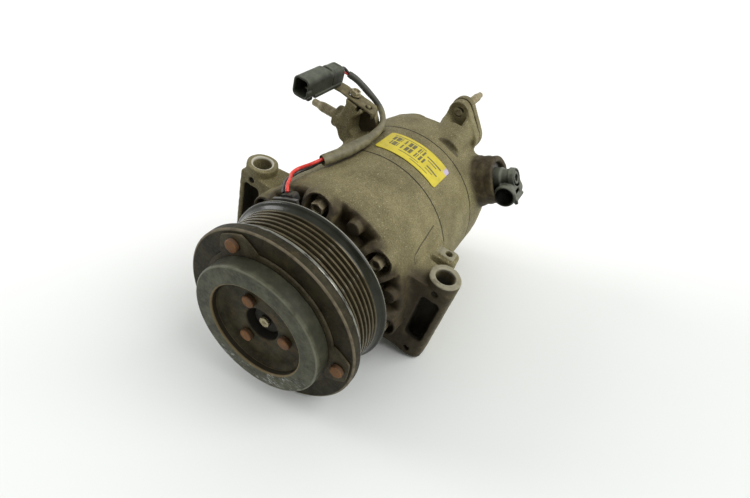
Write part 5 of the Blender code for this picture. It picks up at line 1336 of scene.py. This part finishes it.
SLEEVE_ROUTE = (
    (-69, 123.6, 77.8), (-63.6, 126.5, 75.4), (-58.4, 128, 72.7), (-52, 129, 69.4), (-46.8, 129.5, 66.9),
    (-41.8, 129.5, 64), (-37, 128.2, 60.9), (-32.6, 123.6, 58.9), (-28.8, 116, 58.8), (-25.6, 103, 60),
    (-24.6, 90, 60.4), (-25.6, 76, 60), (-27, 66, 59.4), (-30, 56, 57.9), (-33, 48, 56.6),
)
RED_ROUTE = (
    (-33.2, 48.6, 57.4), (-36.7, 41.3, 54.9), (-41.5, 34.9, 51.3), (-41, 28, 51.4), (-37.8, 22.5, 52.9),
    (-33.2, 13.4, 55.2), (-29.9, 9.2, 54.1),
)
BLACK_ROUTE = (
    (-33.6, 48.6, 55.4), (-37, 43, 51.6), (-41, 35, 48.8), (-41.2, 26.3, 48.4), (-39.2, 19.5, 49.6),
    (-35, 12.6, 52), (-32.4, 9.2, 51.8),
)
TAIL_END = (-65.4, 125.6, 76.3)
GROMMET_ANGLE = 118
SLEEVE_R, SLEEVE_BORE_R, WIRE_R = 3.9, 3.1, 1.1
SLEEVE_THINNING, THIN_BEFORE, THIN_OVER = 1.55, 58, 24


def sleeve():
    """A slightly uneven sleeve, thinner towards the connector; gives its route."""
    route = smooth_route(SLEEVE_ROUTE, 1.5)
    n = len(route) - 1
    along = np.arange(n + 1)
    girth = SLEEVE_R + 0.12 * np.sin(along * 0.21) + 0.08 * np.sin(along * 0.57 + 1)
    girth -= SLEEVE_THINNING * np.clip((THIN_BEFORE - along) / THIN_OVER, 0, 1) ** 0.8
    rings = [(4, girth[0] - 0.9), (0, girth[0] - 0.9), (0, girth[0] - 0.25)]
    rings += [(i, girth[i]) for i in range(1, n)]
    rings += [(n, girth[n] - 0.2), (n, SLEEVE_BORE_R), (n - 5, SLEEVE_BORE_R)]
    piece("harness_sleeve", swept(route, rings, 36))
    return route


def wires(inside):
    """Each wire from inside the sleeve to the coil's grommet, and its tail from the connector."""
    for node, points, side in (("red_wire", RED_ROUTE, 0.6), ("black_wire", BLACK_ROUTE, -0.6)):
        route = smooth_route((inside + side * np.array((0.3, 0, 1)), *points), 0.8)
        last = len(route) - 1
        rings = [(0, 0.9), *[(i, WIRE_R) for i in range(1, last)], (last, 0.9)]
        piece(node, swept(route, rings, 20))
    x, z = CONNECTOR_X, CONNECTOR_Z
    for node, rise in (("black_wire", 2), ("red_wire", -2)):
        points = (x, 113, z + rise), (x + 1.4, 120, z + rise * 0.8), (-69.6, 123.3, 78.2 + rise / 3)
        tail = smooth_route((*points, TAIL_END), 0.6)
        shape = swept(tail, [(i, 1) for i in range(len(tail))], 16)
        piece(node, shape, f"{node}.tail", stands_for=False)


def grommet():
    """A block on the coil with a collar for each wire, made at the top and turned to its place."""
    f = Field((-8, 4, 51), (8, 19, 65), FINE_STEP)
    f.add(f.prism(hull([(sx * 3, 58 + sz * 1.1, 2) for sx in (-1, 1) for sz in (-1, 1)]), 6.6, 12.6))
    for x in (-2, 2):
        f.add(f.rod((x, 8, 58.6), (x, 11, 60.4), 1.5, 1.3), 0.4)
    verts, faces = f.mesh()
    turn = Matrix.Rotation(-radians(GROMMET_ANGLE - 90), 3, "Y")
    piece("coil_grommet", (verts @ np.array(turn).T, faces))


# Label

LABEL_START, LABEL_END = 108, 59
LABEL_FRONT_Y, LABEL_REAR_Y = 89.7, 115.8
LABEL_TOP_R, LABEL_UNDER_R, LABEL_CORNER, LABEL_LIFT = 61.28, 60.9, 2, 0.1
LABEL_COLUMNS, LABEL_ROWS = 60, 28


def label_sheet(radius, lift):
    """Points of a sheet bent round the block, with rounded corners and a faint wave."""
    sweep, height = LABEL_END - LABEL_START, LABEL_REAR_Y - LABEL_FRONT_Y
    width = radians(abs(sweep)) * BODY_R
    points = []
    for v in np.arange(LABEL_ROWS + 1) / LABEL_ROWS:
        inset = max(0, LABEL_CORNER - min(v, 1 - v) * height)
        trim = (LABEL_CORNER - np.sqrt(max(0, LABEL_CORNER**2 - inset**2))) / width
        for i in range(LABEL_COLUMNS + 1):
            u = trim + (1 - 2 * trim) * i / LABEL_COLUMNS
            r = radius + lift * max(0, sin(9 * u + 3 * v))
            points.append(on_shaft(r, LABEL_START + sweep * u, LABEL_FRONT_Y + height * v))
    return points


def label():
    """A paper label with two sides and an edge, and coordinates for its print."""
    verts = label_sheet(LABEL_TOP_R, LABEL_LIFT) + label_sheet(LABEL_UNDER_R, 0)
    n, size = LABEL_COLUMNS + 1, len(verts) // 2
    cells = [j * n + i for j in range(LABEL_ROWS) for i in range(LABEL_COLUMNS)]
    faces = [(k, k + 1, k + n + 1, k + n) for side in (0, size) for k in (side + c for c in cells)]
    rim = [*range(n), *range(n + LABEL_COLUMNS, size, n)]
    rim += [*range(size - 2, size - n - 1, -1), *range(size - 2 * n, 0, -n)]
    faces += [(a, b, b + size, a + size) for a, b in zip(rim, [*rim[1:], rim[0]])]
    obj = piece("label", (np.array(verts), faces))
    layer = obj.data.uv_layers.new(name="Print")
    back = REST.inverted()
    for loop in obj.data.loops:
        x, y, z = back @ obj.data.vertices[loop.vertex_index].co
        u = (LABEL_START - np.degrees(np.arctan2(z, x))) / (LABEL_START - LABEL_END)
        layer.data[loop.index].uv = (u, (y - LABEL_FRONT_Y) / (LABEL_REAR_Y - LABEL_FRONT_Y))


front_housing()
cylinder_block()
rear_head()
clutch()
fasteners()
snap_ring()
valve_plug()
port_plate()
bracket()
connector()
sleeve_route = sleeve()
wires(sleeve_route[-5])
grommet()
label()
for node in frame["nodes"].values():
    if not node.hide_render:
        node.material_slots[0].material = SKINS[node.material_slots[0].material.name]

# Studio; the camera is given in the shaft frame

CAMERA_RIGHT = Vector((0.8216, 0.51176, 0.25114))
CAMERA_UP = Vector((-0.52451, 0.50609, 0.68466))
CAMERA_AT = Vector((95.866, -185.544, 245.281))
CAMERA_LENS, CAMERA_SENSOR, CAMERA_NEAR = 24, 36, 0.01
FLOOR_HALF = 6
FLOOR_AHEAD, FLOOR_FADE = (-0.5, 0.867, 0), (-0.1, 0.16)
# The floor's painted shade: greyer near the viewer than far off
FLOOR_NEAR, FLOOR_FAR = (0.735, 0.755, 0.735, 1), (0.875, 0.88, 0.865, 1)
FLOOR_ROUGHNESS, FLOOR_SHEEN = 0.7, 0.2
SKY_TINT = (1, 1, 0.99, 1)
SKY_DARK_SIDE, SKY_FADE, SKY_STRENGTH = (0.62, -0.78, 0), (-0.5, 0.8), (0.92, 0.25)
SUNS = (
    ("key", (0.78, 0.12, 0.62), 2.4, 50),
    ("left", (-0.86, -0.1, 0.48), 0.85, 26),
    ("fill", (0.15, -0.55, 0.82), 0.25, 60),
)


def add_to_scene(name, data):
    obj = bpy.data.objects.new(name, data)
    bpy.context.scene.collection.objects.link(obj)
    return obj


def fade(tree, coords, direction, reach, ends):
    """A value that runs smoothly along a direction, from one end's to the other's."""
    ahead = tree.nodes.new("ShaderNodeVectorMath")
    ahead.operation = "DOT_PRODUCT"
    ahead.inputs[1].default_value = direction
    fall = tree.nodes.new("ShaderNodeMapRange")
    fall.interpolation_type = "SMOOTHSTEP"
    for i, value in enumerate((*reach, *ends)):
        fall.inputs[i + 1].default_value = value
    tree.links.new(tree.nodes.new("ShaderNodeTexCoord").outputs[coords], ahead.inputs[0])
    tree.links.new(ahead.outputs["Value"], fall.inputs[0])
    return fall.outputs[0]


def camera():
    obj = add_to_scene("camera", bpy.data.cameras.new("camera"))
    obj.data.lens = CAMERA_LENS
    obj.data.sensor_width = CAMERA_SENSOR
    obj.data.clip_start = CAMERA_NEAR
    right = CAMERA_RIGHT.normalized()
    up = (CAMERA_UP - right * CAMERA_UP.dot(right)).normalized()
    turn = REST.to_quaternion().to_matrix() @ Matrix((right, up, right.cross(up))).transposed()
    obj.matrix_world = Matrix.Translation(REST @ CAMERA_AT) @ turn.to_4x4()
    bpy.context.scene.camera = obj


def floor():
    """A white floor, with painted shade that makes it a little greyer towards the viewer."""
    mesh = bpy.data.meshes.new("floor")
    corners = [(x * FLOOR_HALF, y * FLOOR_HALF, 0) for x, y in ((-1, -1), (1, -1), (1, 1), (-1, 1))]
    mesh.from_pydata(corners, [], [(0, 1, 2, 3)])
    white = bpy.data.materials.new("floor")
    white.use_nodes = True
    tree = white.node_tree
    tint = tree.nodes.new("ShaderNodeMix")
    tint.data_type = "RGBA"
    tint.inputs[6].default_value = FLOOR_NEAR
    tint.inputs[7].default_value = FLOOR_FAR
    shader = tree.nodes["Principled BSDF"]
    tree.links.new(fade(tree, "Object", FLOOR_AHEAD, FLOOR_FADE, (0, 1)), tint.inputs[0])
    tree.links.new(tint.outputs[2], shader.inputs["Base Color"])
    shader.inputs["Roughness"].default_value = FLOOR_ROUGHNESS
    shader.inputs["Specular IOR Level"].default_value = FLOOR_SHEEN
    mesh.materials.append(white)
    add_to_scene("floor", mesh)


def lights():
    """A sky that is darker on one side, and three soft suns."""
    world = bpy.data.worlds.new("studio")
    world.use_nodes = True
    tree = world.node_tree
    sky = tree.nodes["Background"]
    sky.inputs["Color"].default_value = SKY_TINT
    strength = fade(tree, "Generated", SKY_DARK_SIDE, SKY_FADE, SKY_STRENGTH)
    tree.links.new(strength, sky.inputs["Strength"])
    bpy.context.scene.world = world
    for name, towards, power, spread in SUNS:
        sun = add_to_scene(name, bpy.data.lights.new(name, "SUN"))
        sun.data.energy = power
        sun.data.angle = radians(spread)
        sun.rotation_euler = Vector(towards).to_track_quat("Z", "Y").to_euler()


camera()
floor()
lights()
bpy.context.scene.view_settings.view_transform = "Standard"
